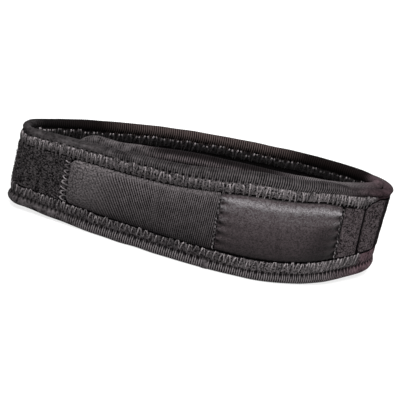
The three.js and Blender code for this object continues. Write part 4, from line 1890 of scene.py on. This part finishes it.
@dataclass(frozen=True)
class Studio:
    """A pale floor, soft lights and a camera at the photograph's angle."""

    elevation: float = 25.0
    azimuth: float = -12.0
    roll: float = 14.0
    distance: float = 0.85  # metres
    lens: float = 170.0
    middle: tuple[float, float, float] = (-1.56, 5.12, 22.0)
    shift: tuple[float, float] = (1.2, -3.7)  # across and up the picture, in millimetres
    floor_half: float = 2.0  # metres
    floor_drop: float = 0.02
    floor_greys: tuple[float, float] = (0.2, 0.22)
    floor_glow: float = 0.78
    ambient: float = 0.08

    AIM = Vector((0, 0, 0.02))  # what the lights are turned to, in metres
    WHITE = (1, 1, 1, 1)
    FLOOR_POINTS = 9  # along a side
    SENSOR = 36.0  # millimetres
    CLIP = (0.01, 20.0)  # metres

    def floor(self) -> None:
        """A level sheet with a faint grain."""
        side = np.linspace(-self.floor_half / MM, self.floor_half / MM, self.FLOOR_POINTS)
        x, y = np.meshgrid(side, side)
        points = np.stack([x, y, np.full_like(x, -self.floor_drop)], axis=-1)
        surface = Surface.lattice(points, points[..., :2])
        surface.faces = [face[:, ::-1] for face in surface.faces]
        floor = surface.build("studio_floor")
        loom = Loom("floor_paint")
        grain = loom.noise(loom.place(), scale=30)
        paint = loom.ended({
            "Base Color": loom.blend(grain, *((level, level, level, 1) for level in self.floor_greys)),
            "Roughness": 0.9, "Specular IOR Level": 0.1,
            "Emission Color": self.WHITE, "Emission Strength": self.floor_glow,
        })
        floor.data.materials.append(paint)

    def lights(self) -> None:
        """A large key light from above the front, a low strip, a light for the back, a dim world."""
        world = bpy.data.worlds.new("studio_world")
        world.use_nodes = True
        background = world.node_tree.nodes["Background"]
        background.inputs["Color"].default_value = self.WHITE
        background.inputs["Strength"].default_value = self.ambient
        bpy.context.scene.world = world
        self._area("key_light", (-0.06, -0.48, 1.2), size=1.2, power=56.0)
        self._area("gloss_strip", (0.62, -1.03, 0.24), size=0.35, power=2.0)
        self._area("back_light", (-0.1, 1.2, 0.45), size=0.8, power=16.0)

    def _area(self, name: str, place: tuple[float, float, float], size: float, power: float) -> None:
        """A square light at a place, turned to the object.

        Args:
            name: the light's name.
            place: its centre, in metres.
            size: metres along a side.
            power: watts.
        """
        lamp = bpy.data.lights.new(name, "AREA")
        lamp.size = size
        lamp.energy = power
        obj = bpy.data.objects.new(name, lamp)
        obj.location = place
        obj.rotation_euler = (self.AIM - Vector(place)).to_track_quat("-Z", "Y").to_euler()
        bpy.context.scene.collection.objects.link(obj)

    def camera(self) -> None:
        """A long lens at the photograph's angle, turned about its axis so that the right end hangs
        lower.
        """
        a, e, r = (math.radians(x) for x in (self.azimuth, self.elevation, self.roll))
        back = Vector((math.sin(a) * math.cos(e), -math.cos(a) * math.cos(e), math.sin(e)))
        right = Vector((math.cos(a), math.sin(a), 0.0))
        up = back.cross(right)
        across = math.cos(r) * right + math.sin(r) * up
        upward = -math.sin(r) * right + math.cos(r) * up
        target = (Vector(self.middle) + self.shift[0] * across + self.shift[1] * upward) * MM
        data = bpy.data.cameras.new("photo_camera")
        data.lens = self.lens
        data.sensor_width = self.SENSOR
        data.clip_start, data.clip_end = self.CLIP
        obj = bpy.data.objects.new("photo_camera", data)
        axes = Matrix((across, upward, back)).transposed()
        obj.matrix_world = Matrix.Translation(target + back * self.distance) @ axes.to_4x4()
        bpy.context.scene.collection.objects.link(obj)
        bpy.context.scene.camera = obj

    def build(self) -> None:
        """Sets up the floor, the lights, the camera and plain colour management."""
        self.floor()
        self.lights()
        self.camera()
        bpy.context.scene.view_settings.view_transform = "Standard"


@dataclass
class KneeStrap:
    """The whole strap: strip, binding, panels and stitching."""

    space: StrapSpace = field(default_factory=StrapSpace)
    tape_width: float = 22.0

    CHEVRON = 0.434  # turn of the seam between the twill and the loop pile
    # Lean of the seams across the strip, from foot to top.
    TAIL_LEAN, RIGHT_LEAN, LEFT_LEAN, CHEVRON_LEAN = 1.7, 2.2, 2.4, 0.6
    SQUARE = (0.6, 0.6)  # corners of a panel that is cut square
    ROW_ENDS = (0.6, 0.4)  # from the foot and the top of a panel to the stitches up its end
    ROW_CLOTH = 2.1  # from the strip's middle to the cloth at those stitches

    def panels(self) -> None:
        """Builds the outer panels in order along the strip, then the hook patch."""
        space = self.space
        panels = (
            TailCloth(
                space, "tail_end_panel_cloth", "tail_end_panel", start=-0.1445, end=0.0503,
                lean_end=self.TAIL_LEAN, seed=41),
            TailCloth(
                space, "tail_panel_cloth", "tail_panel", start=0.0518, end=0.0865,
                lean_start=self.TAIL_LEAN, lean_end=self.RIGHT_LEAN, corners=self.SQUARE, seed=45),
            BadgePanel(
                space, "badge_panel_satin", "badge_panel", start=0.0878, end=0.2416,
                lean_start=self.RIGHT_LEAN, lean_end=self.LEFT_LEAN, inset=0.3,
                corners=(1.5, 0.6), crown=1.3, step=0.35, rows=70, seed=33),
            FrontPanel(
                space, "front_panel_twill", "front_panel", start=0.242, end=0.4335,
                lean_start=self.LEFT_LEAN, lean_end=self.CHEVRON_LEAN, corners=(0.6, 3.5),
                crown=1.6, step=TWILL_PITCH / 5, rows=100, seed=21),
            LoopPanel(
                space, "loop_panel_cloth", "loop_panel", start=self.CHEVRON, end=0.93,
                lean_start=self.CHEVRON_LEAN, corners=self.SQUARE, step=0.5, seed=51),
            HookPatch(
                space, "hook_patch_base", "hook_patch", start=-0.14, end=-0.065,
                inset=1.0, edge=1.1, side=Side.INNER, seed=61),
        )
        for panel in panels:
            panel.build()

    def edging(self) -> None:
        """Builds the binding tape and the zigzag rows that hold it on both faces."""
        rim = RimPath(self.space)
        plan = ZigzagPlan(rim)
        binding = EdgeBinding(rim, plan)
        finish = RibbedTape(binding.pitch).material()
        tape = wear(binding.build(), finish, "edge_binding")
        outer = StitchRow(rim, Side.OUTER, seed=11)
        inner = StitchRow(
            rim, Side.INNER, wide=0.42, seed=12, lighter=0.75, uneven=0.35, split=0.5)
        dark = SewingThread("inner_thread", dark=0.001, start=0.55)
        rows = [
            wear(row.build(name, plan.tips(row.side)), thread.material())
            for name, row, thread in (
                ("zigzag_outer", outer, SewingThread()), ("zigzag_inner", inner, dark))
        ]
        size = (self.tape_width * MM, rim.length * MM)

    def cross_rows(self) -> None:
        """Builds the rows of stitches up the ends of the front panels."""
        light = SewingThread("chevron_thread", dark=0.02, light=0.2).material()
        dark = SewingThread("seam_thread", dark=0.004, light=0.14).material()
        chevron = PanelEnd(self.space, turn=self.CHEVRON, lean=self.CHEVRON_LEAN)
        left = PanelEnd(self.space, turn=0.2418, lean=self.LEFT_LEAN)
        right = PanelEnd(self.space, turn=0.0875, lean=self.RIGHT_LEAN)
        self._cross_row(
            "chevron_row", chevron, light, pitch=2.6, ends=(-1.3, 2.2), seed=71, lighter=0.7)
        self._cross_row("badge_left_row", left, dark, seed=72)
        self._cross_row("badge_right_row", right, dark, seed=73)

    def _cross_row(self, name: str, ground: PanelEnd, thread: bpy.types.Material, seed: int,
                   pitch: float = 2.0, ends: tuple[float, float] = (-0.5, 0.5),
                   lighter: float = 0.6) -> None:
        """Builds one row of stitches up the end of a panel.

        Args:
            name: the piece's name.
            ground: the panel's end.
            thread: the finish.
            seed: picks the stitches' small differences.
            pitch: millimetres between two tips on one side.
            ends: how far along the strip the tips lie, on the right and on the left.
            lighter: how light the stitches are.
        """
        foot, top = self.ROW_ENDS
        tips = np.arange(foot, ground.height - top, pitch / 2)
        left = np.arange(len(tips)) % 2 == 1
        same = np.ones(len(tips))
        across = np.where(left, ends[1], ends[0])
        row = Tips(tips, across, self.ROW_CLOTH * same, left, same, 0.15 * same)
        stitch = StitchRow(
            ground, Side.OUTER, wide=0.33, tall=0.2, lift=0.2, seed=seed, lighter=lighter,
            uneven=0.3, loose=0.14, split=0.0)
        wear(stitch.build(name, row), thread)

    def build(self) -> None:
        """Builds every piece."""
        StrapBody(self.space).build()
        self.panels()
        self.edging()
        self.cross_rows()


def main() -> None:
    """Sets up the studio and builds the strap."""
    logging.basicConfig(level=logging.INFO, format="%(name)s: %(message)s")
    Studio().build()
    KneeStrap().build()


if __name__ == "__main__":
    main()
